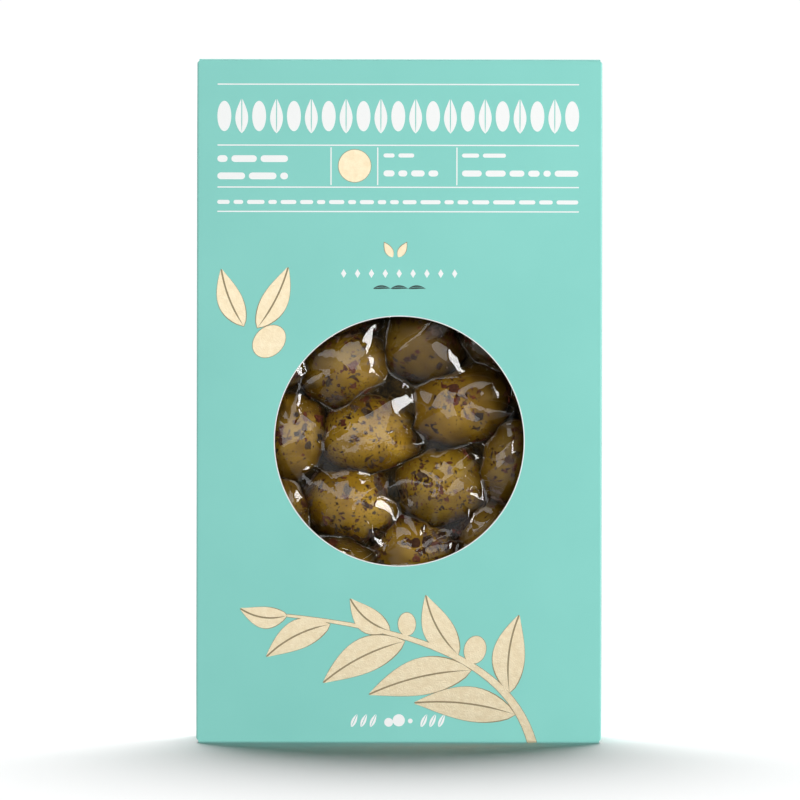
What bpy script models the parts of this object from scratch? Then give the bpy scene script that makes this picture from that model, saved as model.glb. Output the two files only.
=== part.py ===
"""A shut folding carton with a round window, and in it a vacuum pouch of green olives with herbs.

Metres, +Z up. The front panel faces -Y, and the origin lies in the middle of the base.
"""

import math
import random

import bmesh
import bpy
from mathutils import Vector

# The carton: one cut and creased sheet of board, folded into a tube with a tucked lid at each end.
PANEL_WIDTH = 0.1197
CARTON_HEIGHT = 0.202
CARTON_DEPTH = 0.030
BOARD = 0.00045
FOLD_RADIUS = 0.0006
FOLD_STEPS = 4
SIDE_BOW = 0.0005
SIDE_BOW_POWER = 20
LOWER_LEVELS = [0.0, 0.010, 0.022, 0.045, 0.10, 0.28]
SIDE_LINES = (-1.0, -0.80, -0.40, 0.0, 0.40, 0.78, 1.0)
TUCK_LENGTH = 0.014
DUST_LENGTH = 0.016
DUST_TAPER = 0.003
CLEARANCE = 0.0003

# The round window, cut through the front panel only.
WINDOW_RADIUS = 0.0368
WINDOW_HEIGHT = 0.0891
WINDOW_SEGMENTS = 80

# The pouch: two films sealed all round, drawn down over one staggered layer of olives.
POUCH_WIDTH = 0.112
POUCH_BOTTOM = 0.0020
POUCH_TOP = 0.1985
SEAL_WIDTH = 0.0055
END_SEAL_WIDTH = 0.0090
SEAL_THICKNESS = 0.0005
PLUMP_BACK = 0.0133
SHOULDER = 0.017
WEB_DEPTH = 0.0036
WEB_BLEND = 0.0030
CONTACT_LIMIT = 0.86
FINE_STEP = 0.0020
COARSE_STEP = 0.0042
FINE_HALF = 0.040

# The olives that show in the window: place of the middle from the window's centre, half length,
# half width, tilt in degrees from level, and how far the middle stands behind the foremost ones.
MM = 0.001
SHOWN_OLIVES = (
    (-16.5, 21.6, 13.1, 10.5, 8, 0.9),
    (6.4, 29.2, 12.2, 10.4, -30, 1.8),
    (18.2, 10.7, 15.0, 11.0, 15, 0.2),
    (-9.6, 1.7, 13.9, 11.0, -6, 0.0),
    (-32.2, 1.4, 13.3, 10.4, 98, 0.9),
    (-14.3, -18.6, 13.5, 10.6, -8, 0.4),
    (12.8, -13.2, 13.0, 11.6, -5, 0.0),
    (32.8, -6.0, 13.6, 9.3, 78, 1.1),
    (4.6, -33.4, 13.3, 10.9, 8, 1.2),
    (26.4, -27.8, 11.8, 9.4, 60, 2.2),
    (-17.2, -39.4, 12.8, 9.8, -6, 2.3),
    (29.8, 30.4, 12.6, 10.0, -48, 2.6),
    (-35.4, 24.6, 12.0, 9.6, 66, 2.7),
    (41.2, 13.4, 11.0, 8.4, 84, 2.5),
    (-35.6, -22.0, 12.4, 9.8, 74, 2.3),
)
FOREMOST_TOP = 0.0137
OLIVE_HALF_DEPTH = 0.0112

# The olives behind the board, laid out by rule on a staggered grid.
HIDDEN_ROWS = 8
FIRST_ROW = 0.0225
ROW_PITCH = 0.0216
COLUMN_PITCH = 0.0250
COLUMN_REACH = 0.043
HIDDEN_JITTER = 0.0014
HIDDEN_TILT = 35
HIDDEN_LENGTH = (0.0128, 0.0146)
HIDDEN_WIDTH = (0.0098, 0.0110)
HIDDEN_SETBACK = 0.0022
LEAST_SPACING = 0.0172
HIDDEN_SEED = 7

# Flakes of dried herb that lie under the film on the olives in the window.
FLAKE_COUNT = 46
FLAKE_SIDES = 6
FLAKE_RADIUS = (0.0008, 0.0017)
FLAKE_PROUD = 0.0002
FLAKE_ROOT = 0.0016
FLAKE_SPACING = 0.0042
FLAKE_NOTCH = 0.78
FLAKE_NARROWEST = 0.55
FLAKE_REACH = 0.65
SLOPE_STEP = 0.0006
FLAKE_SEED = 21

SHARP_ANGLE = math.radians(32)
CARTON_COLOUR = (0.262, 0.642, 0.572, 1.0)
POUCH_COLOUR = (0.215, 0.135, 0.022, 1.0)


def clear_scene():
    for item in list(bpy.data.objects):
        bpy.data.objects.remove(item)


def plain_material(name, colour, roughness):
    material = bpy.data.materials.new(name)
    material.use_nodes = True
    shader = material.node_tree.nodes["Principled BSDF"]
    shader.inputs["Base Color"].default_value = colour
    shader.inputs["Roughness"].default_value = roughness
    shader.inputs["Metallic"].default_value = 0.0
    return material


def link_mesh(name, bm, material=None):
    mesh = bpy.data.meshes.new(name)
    bm.to_mesh(mesh)
    bm.free()
    mesh.shade_smooth()
    mesh.set_sharp_from_angle(angle=SHARP_ANGLE)
    item = bpy.data.objects.new(name, mesh)
    bpy.context.scene.collection.objects.link(item)
    if material:
        mesh.materials.append(material)
    return item


def quarter_arc(steps):
    """Sine and cosine of the angles after 0, up to a right angle."""
    turns = [math.pi / 2 * step / steps for step in range(1, steps + 1)]
    return [(math.sin(turn), math.cos(turn)) for turn in turns]


# The carton.


def side_levels():
    """Heights of the rows of the tube, as shares of its height: close together near the ends."""
    return LOWER_LEVELS + [0.5] + [1 - level for level in reversed(LOWER_LEVELS)]


def side_bow(share, across):
    """How far a side panel stands out, at a share of its height and across its depth from -1 to 1."""
    up = 1 - abs(2 * share - 1) ** SIDE_BOW_POWER
    return SIDE_BOW * up * (1 - across * across)


def tube_columns():
    """The tube's plan as two halves, anticlockwise from the front panel's right fold.

    A column is (x, y, place across a side panel from -1 to 1, height of its lower end)."""
    half = PANEL_WIDTH / 2
    flat = half - FOLD_RADIUS
    front, back = -CARTON_DEPTH / 2, CARTON_DEPTH / 2
    bend = CARTON_DEPTH / 2 - FOLD_RADIUS
    front_end = FOLD_RADIUS
    side_end = FOLD_RADIUS + BOARD + CLEARANCE
    back_end = CLEARANCE
    turns = quarter_arc(FOLD_STEPS)[:-1]

    right = [(flat, front, 0.0, front_end)]
    for step, (rise, run) in enumerate(turns, start=1):
        end = front_end + (side_end - front_end) * step / FOLD_STEPS
        right.append((flat + FOLD_RADIUS * rise, -bend - FOLD_RADIUS * run, 0.0, end))
    for across in SIDE_LINES:
        right.append((half, across * bend, across, side_end))
    for step, (rise, run) in enumerate(turns, start=1):
        end = side_end + (back_end - side_end) * step / FOLD_STEPS
        right.append((flat + FOLD_RADIUS * run, bend + FOLD_RADIUS * rise, 0.0, end))
    right.append((flat, back, 0.0, back_end))
    left = [(-x, y, across, end) for x, y, across, end in reversed(right)]
    return right, left


def tube_points(column):
    """The points of one column of the tube, from its lowest to its highest."""
    x, y, across, end = column
    on_side = abs(abs(x) - PANEL_WIDTH / 2) < 1e-7
    points = []
    for share in side_levels():
        z = end + (CARTON_HEIGHT - 2 * end) * share
        out = side_bow(share, across) if on_side else 0.0
        points.append(Vector((x + math.copysign(out, x), y, z)))
    return points


def lid_points(x, top):
    """The points of a lid's edge, from the front panel over the end and down its tuck flap."""
    front = -CARTON_DEPTH / 2
    tuck = CARTON_DEPTH / 2 - BOARD - CLEARANCE
    corner = CARTON_HEIGHT - FOLD_RADIUS
    points = [Vector((x, front, corner))]
    for rise, run in quarter_arc(FOLD_STEPS):
        points.append(
            Vector((x, front + FOLD_RADIUS - FOLD_RADIUS * run, corner + FOLD_RADIUS * rise))
        )
    points.append(Vector((x, tuck - FOLD_RADIUS, CARTON_HEIGHT)))
    for rise, run in quarter_arc(FOLD_STEPS):
        points.append(
            Vector((x, tuck - FOLD_RADIUS + FOLD_RADIUS * rise, corner + FOLD_RADIUS * run))
        )
    points.append(Vector((x, tuck, CARTON_HEIGHT - TUCK_LENGTH)))
    if top:
        return points
    return [Vector((p.x, p.y, CARTON_HEIGHT - p.z)) for p in points]


def dust_points(x, y, top):
    """The points of a dust flap's line, from the top of a side panel over its fold and inwards."""
    way = math.copysign(1, x)
    start = CARTON_HEIGHT - FOLD_RADIUS - BOARD - CLEARANCE
    points = [Vector((x, y, start))]
    for rise, run in quarter_arc(FOLD_STEPS):
        reach = abs(x) - FOLD_RADIUS + FOLD_RADIUS * run
        points.append(Vector((way * reach, y, start + FOLD_RADIUS * rise)))
    shrink = 1 - DUST_TAPER / (CARTON_DEPTH / 2)
    inner = abs(x) - FOLD_RADIUS - DUST_LENGTH
    points.append(Vector((way * inner, y * shrink, start + FOLD_RADIUS)))
    if top:
        return points
    return [Vector((p.x, p.y, CARTON_HEIGHT - p.z)) for p in points]


def add_strip(bm, columns, flip=False):
    """Quads between neighbouring columns of points, all facing one way."""
    rows = [[bm.verts.new(point) for point in column] for column in columns]
    for near, far in zip(rows, rows[1:]):
        for low in range(len(near) - 1):
            corners = [near[low], far[low], far[low + 1], near[low + 1]]
            bm.faces.new(list(reversed(corners)) if flip else corners)


def make_carton(material):
    """The folded sheet as one surface, given the board's thickness inwards, with its window cut."""
    bm = bmesh.new()
    right, left = tube_columns()
    ring = right + left
    add_strip(bm, [tube_points(column) for column in ring + ring[:1]])
    flat = PANEL_WIDTH / 2 - FOLD_RADIUS
    for top in (True, False):
        add_strip(bm, [lid_points(x, top) for x in (-flat, flat)], flip=not top)
        for half in (right, left):
            middle = [c for c in half if abs(abs(c[0]) - PANEL_WIDTH / 2) < 1e-7][1:-1]
            add_strip(bm, [dust_points(c[0], c[1], top) for c in middle], flip=not top)
    bmesh.ops.remove_doubles(bm, verts=bm.verts, dist=1e-6)
    carton = link_mesh("carton", bm, material)

    board = carton.modifiers.new("board", "SOLIDIFY")
    board.thickness = BOARD
    board.offset = -1
    board.use_even_offset = True

    cut = carton.modifiers.new("window", "BOOLEAN")
    cut.operation = "DIFFERENCE"
    cut.solver = "EXACT"
    cut.object = window_cutter()
    return carton


def window_cutter():
    """A round plug through the front panel, as the die cuts it."""
    bm = bmesh.new()
    bmesh.ops.create_cone(
        bm,
        cap_ends=True,
        segments=WINDOW_SEGMENTS,
        radius1=WINDOW_RADIUS,
        radius2=WINDOW_RADIUS,
        depth=0.010,
    )
    cutter = link_mesh("window_cutter", bm)
    cutter.rotation_euler = (math.pi / 2, 0, 0)
    cutter.location = (0, -CARTON_DEPTH / 2, WINDOW_HEIGHT)
    cutter.hide_render = True
    cutter.display_type = "WIRE"
    return cutter


# The pouch.


def shown_olives():
    """The olives in the window as (x, z, half length, half width, tilt, setback)."""
    found = []
    for x, z, long, wide, tilt, back in SHOWN_OLIVES:
        place = (x * MM, WINDOW_HEIGHT + z * MM)
        found.append((*place, long * MM, wide * MM, math.radians(tilt), back * MM))
    return found


def hidden_olives(taken):
    """Olives on a staggered grid over the rest of the pouch, where none of those taken is near."""
    draw = random.Random(HIDDEN_SEED)
    found = []
    for row in range(HIDDEN_ROWS):
        shift = 0.25 if row % 2 else -0.25
        for column in range(-2, 3):
            x = (column + shift) * COLUMN_PITCH + draw.uniform(-1, 1) * HIDDEN_JITTER
            z = FIRST_ROW + row * ROW_PITCH + draw.uniform(-1, 1) * HIDDEN_JITTER
            tilt = math.radians(draw.uniform(-HIDDEN_TILT, HIDDEN_TILT))
            long = draw.uniform(*HIDDEN_LENGTH)
            wide = draw.uniform(*HIDDEN_WIDTH)
            near = [o for o in taken + found if math.hypot(x - o[0], z - o[1]) < LEAST_SPACING]
            if abs(x) < COLUMN_REACH and not near:
                found.append((x, z, long, wide, tilt, HIDDEN_SETBACK))
    return found


def olive_rise(share):
    """Height of the film over an olive at a share of the way to its rim, leaving it in a tangent."""
    if share < CONTACT_LIMIT:
        return math.sqrt(1 - share * share)
    edge = math.sqrt(1 - CONTACT_LIMIT * CONTACT_LIMIT)
    return edge - CONTACT_LIMIT / edge * (share - CONTACT_LIMIT)


def smooth_max(a, b, width):
    """The greater of two heights, rounded where they meet."""
    blend = max(width - abs(a - b), 0.0) / width
    return max(a, b) + blend * blend * width / 4


def ease(share):
    share = min(max(share, 0.0), 1.0)
    return share * share * (3 - 2 * share)


def fullness(x, z):
    """How plump the pouch is at a place: 0 on its seals and 1 away from them."""
    across = (POUCH_WIDTH / 2 - SEAL_WIDTH - abs(x)) / SHOULDER
    up = min(z - POUCH_BOTTOM, POUCH_TOP - z) - END_SEAL_WIDTH
    return math.sqrt(ease(across) * ease(up / SHOULDER))


def film_height(x, z, olives):
    """How far the front film stands before the pouch's middle plane."""
    top = WEB_DEPTH
    for centre_x, centre_z, long, wide, tilt, back in olives:
        u, v = x - centre_x, z - centre_z
        along = (u * math.cos(tilt) + v * math.sin(tilt)) / long
        side = (v * math.cos(tilt) - u * math.sin(tilt)) / wide
        rise = olive_rise(math.hypot(along, side)) * OLIVE_HALF_DEPTH
        lift = FOREMOST_TOP - OLIVE_HALF_DEPTH - back
        top = smooth_max(top, rise + lift, WEB_BLEND)
    return top * fullness(x, z) + SEAL_THICKNESS / 2


def back_height(x, z):
    """How far the back film stands behind the middle plane: flat against the back panel."""
    return PLUMP_BACK * fullness(x, z) + SEAL_THICKNESS / 2


def spaced(low, high, step):
    """Values from low to high about a step apart, both ends in."""
    count = max(1, round((high - low) / step))
    return [low + (high - low) * index / count for index in range(count + 1)]


def grid_lines(low, high, centre):
    """Lines across the pouch, close together behind the window and an even number of gaps in all."""
    lines = (
        spaced(low, centre - FINE_HALF, COARSE_STEP)[:-1]
        + spaced(centre - FINE_HALF, centre + FINE_HALF, FINE_STEP)
        + spaced(centre + FINE_HALF, high, COARSE_STEP)[1:]
    )
    if len(lines) % 2 == 0:
        lines.insert(1, (lines[0] + lines[1]) / 2)
    return lines


def ring_of(grid):
    """The outermost vertices of a grid of them, in order round it."""
    last_row, last_column = len(grid) - 1, len(grid[0]) - 1
    ring = [grid[0][column] for column in range(last_column)]
    ring += [grid[row][last_column] for row in range(last_row)]
    ring += [grid[last_row][column] for column in range(last_column, 0, -1)]
    ring += [grid[row][0] for row in range(last_row, 0, -1)]
    return ring


def add_grid(bm, rows, flip=False):
    for near, far in zip(rows, rows[1:]):
        for column in range(len(near) - 1):
            corners = [near[column], near[column + 1], far[column + 1], far[column]]
            bm.faces.new(list(reversed(corners)) if flip else corners)


def pouch_body(olives):
    """The sealed pouch: a fine front film, a back film of half its lines, and the rim between."""
    across = grid_lines(-POUCH_WIDTH / 2, POUCH_WIDTH / 2, 0.0)
    up = grid_lines(POUCH_BOTTOM, POUCH_TOP, WINDOW_HEIGHT)
    bm = bmesh.new()
    front = [[bm.verts.new((x, -film_height(x, z, olives), z)) for x in across] for z in up]
    back = [[bm.verts.new((x, back_height(x, z), z)) for x in across[::2]] for z in up[::2]]
    add_grid(bm, front)
    add_grid(bm, back, flip=True)
    fine, coarse = ring_of(front), ring_of(back)
    for index, near in enumerate(coarse):
        first, middle = fine[2 * index], fine[2 * index + 1]
        last = fine[(2 * index + 2) % len(fine)]
        far = coarse[(index + 1) % len(coarse)]
        bm.faces.new((first, near, middle))
        bm.faces.new((near, far, middle))
        bm.faces.new((middle, far, last))
    bmesh.ops.triangulate(bm, faces=[face for face in bm.faces if len(face.verts) > 3])
    return bm


def flake_places(olives):
    """Places for the herb flakes on the olives in the window, each clear of the others."""
    draw = random.Random(FLAKE_SEED)
    reach = WINDOW_RADIUS - FLAKE_SPACING
    places = []
    while len(places) < FLAKE_COUNT:
        olive = draw.choice(olives)
        centre_x, centre_z, long, wide, tilt, _ = olive
        turn = draw.uniform(0, 2 * math.pi)
        share = FLAKE_REACH * math.sqrt(draw.random())
        along, side = share * math.cos(turn) * long, share * math.sin(turn) * wide
        x = centre_x + along * math.cos(tilt) - side * math.sin(tilt)
        z = centre_z + along * math.sin(tilt) + side * math.cos(tilt)
        radius = draw.uniform(*FLAKE_RADIUS)
        spin = draw.uniform(0, math.pi)
        narrow = draw.uniform(FLAKE_NARROWEST, 1.0)
        in_window = math.hypot(x, z - WINDOW_HEIGHT) < reach
        if in_window and all(math.hypot(x - p[0], z - p[1]) > FLAKE_SPACING for p in places):
            places.append((x, z, radius, spin, narrow))
    return places


def add_flake(bm, place, olives):
    """One flake: a flat plug with a ragged outline, square to the film, its root in the pouch."""
    x, z, radius, spin, narrow = place
    height = film_height(x, z, olives)
    slope_x = (film_height(x + SLOPE_STEP, z, olives) - height) / SLOPE_STEP
    slope_z = (film_height(x, z + SLOPE_STEP, olives) - height) / SLOPE_STEP
    out = Vector((-slope_x, -1.0, -slope_z)).normalized()
    centre = Vector((x, -height, z))
    level = out.cross(Vector((0, 0, 1))).normalized()
    upward = level.cross(out).normalized()
    rings = []
    for depth in (-FLAKE_ROOT, FLAKE_PROUD):
        ring = []
        for side in range(FLAKE_SIDES):
            turn = spin + 2 * math.pi * side / FLAKE_SIDES
            ragged = radius * (1.0 if side % 2 else FLAKE_NOTCH)
            offset = level * math.cos(turn) * ragged + upward * math.sin(turn) * ragged * narrow
            ring.append(bm.verts.new(centre + offset + out * depth))
        rings.append(ring)
    low, high = rings
    bm.faces.new(high)
    bm.faces.new(list(reversed(low)))
    for side in range(FLAKE_SIDES):
        after = (side + 1) % FLAKE_SIDES
        bm.faces.new((low[side], low[after], high[after], high[side]))


def make_pouch(material):
    """The pouch with its herb flakes fused on by one union."""
    shown = shown_olives()
    olives = shown + hidden_olives(shown)
    pouch = link_mesh("pouch", pouch_body(olives), material)
    holder = bpy.data.collections.new("flakes")
    bpy.context.scene.collection.children.link(holder)
    flakes = []
    for number, place in enumerate(flake_places(shown)):
        bm = bmesh.new()
        add_flake(bm, place, olives)
        bmesh.ops.recalc_face_normals(bm, faces=bm.faces)
        flake = link_mesh(f"flake_{number:02d}", bm)
        bpy.context.scene.collection.objects.unlink(flake)
        holder.objects.link(flake)
        flakes.append(flake)
    join = pouch.modifiers.new("herbs", "BOOLEAN")
    join.operation = "UNION"
    join.solver = "EXACT"
    join.operand_type = "COLLECTION"
    join.collection = holder
    bpy.context.view_layer.objects.active = pouch
    bpy.ops.object.modifier_apply(modifier=join.name)
    for flake in flakes:
        bpy.data.objects.remove(flake)
    bpy.data.collections.remove(holder)
    return pouch


def main():
    clear_scene()
    make_carton(plain_material("carton_board", CARTON_COLOUR, 0.55))
    make_pouch(plain_material("pouch_film", POUCH_COLOUR, 0.15))


main()
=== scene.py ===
import math
import random

import bmesh
import bpy
import numpy as np
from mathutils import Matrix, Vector


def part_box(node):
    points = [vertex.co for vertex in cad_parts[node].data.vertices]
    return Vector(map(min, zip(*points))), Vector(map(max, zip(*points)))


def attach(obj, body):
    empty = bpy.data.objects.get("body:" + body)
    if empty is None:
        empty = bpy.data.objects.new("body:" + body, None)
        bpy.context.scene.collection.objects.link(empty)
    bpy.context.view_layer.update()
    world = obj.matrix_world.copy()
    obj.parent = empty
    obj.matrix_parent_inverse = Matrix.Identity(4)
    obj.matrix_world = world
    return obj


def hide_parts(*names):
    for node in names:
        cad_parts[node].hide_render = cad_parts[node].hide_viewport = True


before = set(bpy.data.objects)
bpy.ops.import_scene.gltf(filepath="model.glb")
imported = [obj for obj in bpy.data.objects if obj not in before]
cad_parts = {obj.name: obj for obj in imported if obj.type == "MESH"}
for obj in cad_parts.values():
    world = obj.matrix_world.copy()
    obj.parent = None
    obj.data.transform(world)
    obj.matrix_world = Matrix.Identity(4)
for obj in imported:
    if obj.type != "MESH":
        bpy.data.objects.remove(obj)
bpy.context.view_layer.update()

# The view: the pack is seen square on from far away, at the height of its middle.
# Pixels of the photograph give the place of the camera and the width of its frame.
PHOTO_SIDE = 800
PIXELS_PER_METRE = 3384
MIDDLE_PIXEL = 399.3
FOOT_PIXEL = 742.6
CAMERA_DISTANCE = 1.20
CAMERA_ROLL = math.radians(-0.1)
SENSOR_WIDTH = 36.0
NEAREST_SEEN = 0.01
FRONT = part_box("carton")[0][1]


def in_scene(name, data):
    """An object with its data, linked in the scene."""
    item = bpy.data.objects.new(name, data)
    bpy.context.scene.collection.objects.link(item)
    return item


lens = bpy.data.cameras.new("camera")
lens.sensor_width = SENSOR_WIDTH
lens.lens = SENSOR_WIDTH * CAMERA_DISTANCE * PIXELS_PER_METRE / PHOTO_SIDE
lens.clip_start = NEAREST_SEEN
camera = in_scene("camera", lens)
camera.location = (
    (PHOTO_SIDE / 2 - MIDDLE_PIXEL) / PIXELS_PER_METRE,
    FRONT - CAMERA_DISTANCE,
    (FOOT_PIXEL - PHOTO_SIDE / 2) / PIXELS_PER_METRE,
)
camera.rotation_euler = (math.pi / 2, CAMERA_ROLL, 0)
bpy.context.scene.camera = camera
bpy.context.scene.view_settings.view_transform = "Standard"


# The studio: a white floor under a white sky, a broad dim panel of light before the pack, a
# narrow bright strip at its right, and soft high lights behind it for the lid and the floor.
FLOOR_HALF = 6.0
FLOOR_DROP = 0.0002
FLOOR_WHITE = (0.9, 0.9, 0.9, 1)
FLOOR_MUTED = (0.60, 0.60, 0.60, 1)
FLOOR_BOUNCE = 0.62
SKY_GLOW = 0.03
SKY_SEEN = 1.02
WHITE = (1, 1, 1, 1)
LAMP_AIM = (0, 0, 0.10)
FILL_PLACE = (-0.22, -1.30, 0.51)
FILL_SIZE = (2.9, 1.24)
FILL_RADIANCE = 1.50
STRIP_PLACE = (0.95, -0.32, 0.22)
STRIP_SIZE = (0.40, 0.70)
STRIP_RADIANCE = 10.5
HIGH_LIGHT_SPREAD = math.radians(44)
HIGH_LIGHT_LEAN = math.radians(-30)
FLOOR_LIGHT_STRENGTH = 4.15
TOP_LIGHT_STRENGTH = 2.6


def add_node(tree, kind, inputs=None, **settings):
    """A node with its settings made, and its inputs, by name or number, filled or linked."""
    made = tree.nodes.new(kind)
    for name, value in settings.items():
        setattr(made, name, value)
    for name, value in (inputs or {}).items():
        if isinstance(value, bpy.types.NodeSocket):
            tree.links.new(value, made.inputs[name])
        else:
            made.inputs[name].default_value = value
    return made


def area_light(name, place, size, radiance):
    """A rectangular lamp aimed at the pack, with a stated brightness of its own face."""
    width, height = size
    lamp = bpy.data.lights.new(name, "AREA")
    lamp.shape = "RECTANGLE"
    lamp.size = width
    lamp.size_y = height
    lamp.energy = radiance * math.pi * width * height
    item = in_scene(name, lamp)
    item.location = place
    item.rotation_euler = (Vector(LAMP_AIM) - Vector(place)).to_track_quat("-Z", "Y").to_euler()
    item.visible_camera = False
    return item


def high_light(name, strength):
    """A wide soft light from high behind the pack."""
    lamp = bpy.data.lights.new(name, "SUN")
    lamp.energy = strength
    lamp.angle = HIGH_LIGHT_SPREAD
    item = in_scene(name, lamp)
    item.rotation_euler = (HIGH_LIGHT_LEAN, 0, 0)
    return item


def either(tree, choice, no, yes):
    """One of two shaders, as a light path chooses."""
    return add_node(tree, "ShaderNodeMixShader", {0: choice, 1: no, 2: yes}).outputs[0]


fill = area_light("fill_panel", FILL_PLACE, FILL_SIZE, FILL_RADIANCE)
strip = area_light("strip_light", STRIP_PLACE, STRIP_SIZE, STRIP_RADIANCE)
floor_light = high_light("floor_light", FLOOR_LIGHT_STRENGTH)
top_light = high_light("top_light", TOP_LIGHT_STRENGTH)

sky = bpy.data.worlds.new("sky")
sky.use_nodes = True
sky_tree = sky.node_tree
sky_tree.nodes.clear()
rays = add_node(sky_tree, "ShaderNodeLightPath")
dim, white = (
    add_node(sky_tree, "ShaderNodeBackground", {"Color": WHITE, "Strength": strength}).outputs[0]
    for strength in (SKY_GLOW, SKY_SEEN)
)
sky_light = either(sky_tree, rays.outputs["Is Camera Ray"], dim, white)
add_node(sky_tree, "ShaderNodeOutputWorld", {"Surface": sky_light})
bpy.context.scene.world = sky

# The camera sees the floor white and in shadow. It throws an even light up on the board, and it
# is greyer in the gloss of the film.
floor_mesh = bpy.data.meshes.new("floor")
floor_corners = [
    (x * FLOOR_HALF, y * FLOOR_HALF, -FLOOR_DROP) for x, y in ((-1, -1), (1, -1), (1, 1), (-1, 1))
]
floor_mesh.from_pydata(floor_corners, [], [(0, 1, 2, 3)])
floor_paint = bpy.data.materials.new("white_floor")
floor_paint.use_nodes = True
floor_paint.cycles.emission_sampling = "NONE"
paint_tree = floor_paint.node_tree
paint_tree.nodes.clear()
rays = add_node(paint_tree, "ShaderNodeLightPath")
bright, muted = (
    add_node(paint_tree, "ShaderNodeBsdfDiffuse", {"Color": colour}).outputs[0]
    for colour in (FLOOR_WHITE, FLOOR_MUTED)
)
even = add_node(paint_tree, "ShaderNodeEmission", {"Color": WHITE, "Strength": FLOOR_BOUNCE})
indirect = either(paint_tree, rays.outputs["Is Diffuse Ray"], muted, even.outputs[0])
paint = either(paint_tree, rays.outputs["Is Camera Ray"], indirect, bright)
add_node(paint_tree, "ShaderNodeOutputMaterial", {"Surface": paint})
floor_mesh.materials.append(floor_paint)
floor = in_scene("floor", floor_mesh)

# The lamps before and over the pack are screened off from the floor, so its shadow stays deep.
# The floor has a high light of its own.
screened = bpy.data.collections.new("screened_floor")
screened.objects.link(floor)
for lamp_item in (fill, strip, top_light):
    lamp_item.light_linking.receiver_collection = screened
on_floor = bpy.data.collections.new("floor_alone")
on_floor.objects.link(floor)
floor_light.light_linking.receiver_collection = on_floor


# The olives: large green table olives, whole, one staggered layer of them sealed in the pouch.
# Nodes lay one shaped ball on each olive's place, and a slow noise dents the skins a little.
MM = 0.001
WINDOW_HEIGHT = 0.0891
WINDOW_RADIUS = 0.0368
POUCH_LOW, POUCH_HIGH = (Vector(corner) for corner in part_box("pouch"))
POUCH_HALF = POUCH_HIGH.x
SEAL_WIDTH = 0.0055
END_SEAL_WIDTH = 0.0090
SEAL_THICKNESS = 0.0005
SHOULDER = 0.017
FOREMOST_TOP = 0.0137
OLIVE_HALF_DEPTH = 0.0112

# In the window, in millimetres and degrees: place from its centre, half length, half width,
# tilt, and setback.
SHOWN_OLIVES = (
    (-16.5, 21.6, 13.1, 10.5, 8, 0.9),
    (6.4, 29.2, 12.2, 10.4, -30, 1.8),
    (18.2, 10.7, 15.0, 11.0, 15, 0.2),
    (-9.6, 1.7, 13.9, 11.0, -6, 0.0),
    (-32.2, 1.4, 13.3, 10.4, 98, 0.9),
    (-14.3, -18.6, 13.5, 10.6, -8, 0.4),
    (12.8, -13.2, 13.0, 11.6, -5, 0.0),
    (32.8, -6.0, 13.6, 9.3, 78, 1.1),
    (4.6, -33.4, 13.3, 10.9, 8, 1.2),
    (26.4, -27.8, 11.8, 9.4, 60, 2.2),
    (-17.2, -39.4, 12.8, 9.8, -6, 2.3),
    (29.8, 30.4, 12.6, 10.0, -48, 2.6),
    (-35.4, 24.6, 12.0, 9.6, 66, 2.7),
    (41.2, 13.4, 11.0, 8.4, 84, 2.5),
    (-35.6, -22.0, 12.4, 9.8, 74, 2.3),
)
HIDDEN_ROWS = 8
HIDDEN_COLUMNS = (-2, -1, 0, 1, 2)
FIRST_ROW = 0.0225
ROW_PITCH = 0.0216
COLUMN_PITCH = 0.0250
COLUMN_REACH = 0.043
ROW_SHIFT = 0.25
HIDDEN_JITTER = 0.0014
HIDDEN_TILT = 35
HIDDEN_LENGTH = (0.0128, 0.0146)
HIDDEN_WIDTH = (0.0098, 0.0110)
HIDDEN_SETBACK = 0.0022
LEAST_SPACING = 0.0172
HIDDEN_SEED = 7
BALL_SIDES = 48
BALL_RINGS = 30
POINTED = 0.10
DENT_DEPTH = 0.0004
DENT_LEVEL = 0.75
DENTS_PER_METRE = 170.0
TONE_SEED = 11
# Painted shade: the skins are lightest about this place, low and left in the window, and painted darker
# from the first distance on, out towards the window's rim, where the board shades them.
LEAST_SHADE_MIDDLE = (-0.007, 0.0, 0.083)
UNSHADED_REACH, FULL_SHADE_REACH = 0.014, 0.046
SKIN_GRAIN = (2600.0, 150.0)
SKIN_RELIEF = 0.00003
SKIN_COLOURS = (
    (0.30, (0.195, 0.102, 0.005, 1)),
    (0.52, (0.322, 0.184, 0.011, 1)),
    (0.72, (0.405, 0.252, 0.023, 1)),
)
SKIN_SHADES = ((0.0, (0.80, 0.84, 0.80, 1)), (1.0, (1.0, 0.98, 1.0, 1)))
# How a skin darkens with depth, from the foremost skins back to the pouch's middle: partly the oil's own
# dimming, partly painted shade on the olives' flanks and in the hollows between them.
DEPTH_OIL_AND_SHADE = (
    (0.0, (1.0, 1.0, 1.0, 1)),
    (0.15, (0.82, 0.82, 0.80, 1)),
    (0.36, (0.60, 0.58, 0.52, 1)),
    (0.62, (0.34, 0.31, 0.25, 1)),
    (0.90, (0.09, 0.08, 0.05, 1)),
)
# How the painted shade dims them, from its lightest place out to its darkest.
OUTWARD_PAINTED_SHADE = (
    (0.0, (1.0, 1.0, 1.0, 1)),
    (0.5, (0.68, 0.67, 0.60, 1)),
    (1.0, (0.20, 0.19, 0.14, 1)),
)


def ease(share):
    share = np.clip(share, 0, 1)
    return share * share * (3 - 2 * share)


def fullness(x, z):
    """How plump the pouch is at a place: 0 on its seals and 1 away from them."""
    across = (POUCH_HALF - SEAL_WIDTH - np.abs(x)) / SHOULDER
    up = (np.minimum(z - POUCH_LOW.z, POUCH_HIGH.z - z) - END_SEAL_WIDTH) / SHOULDER
    return np.sqrt(ease(across) * ease(up))


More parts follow.
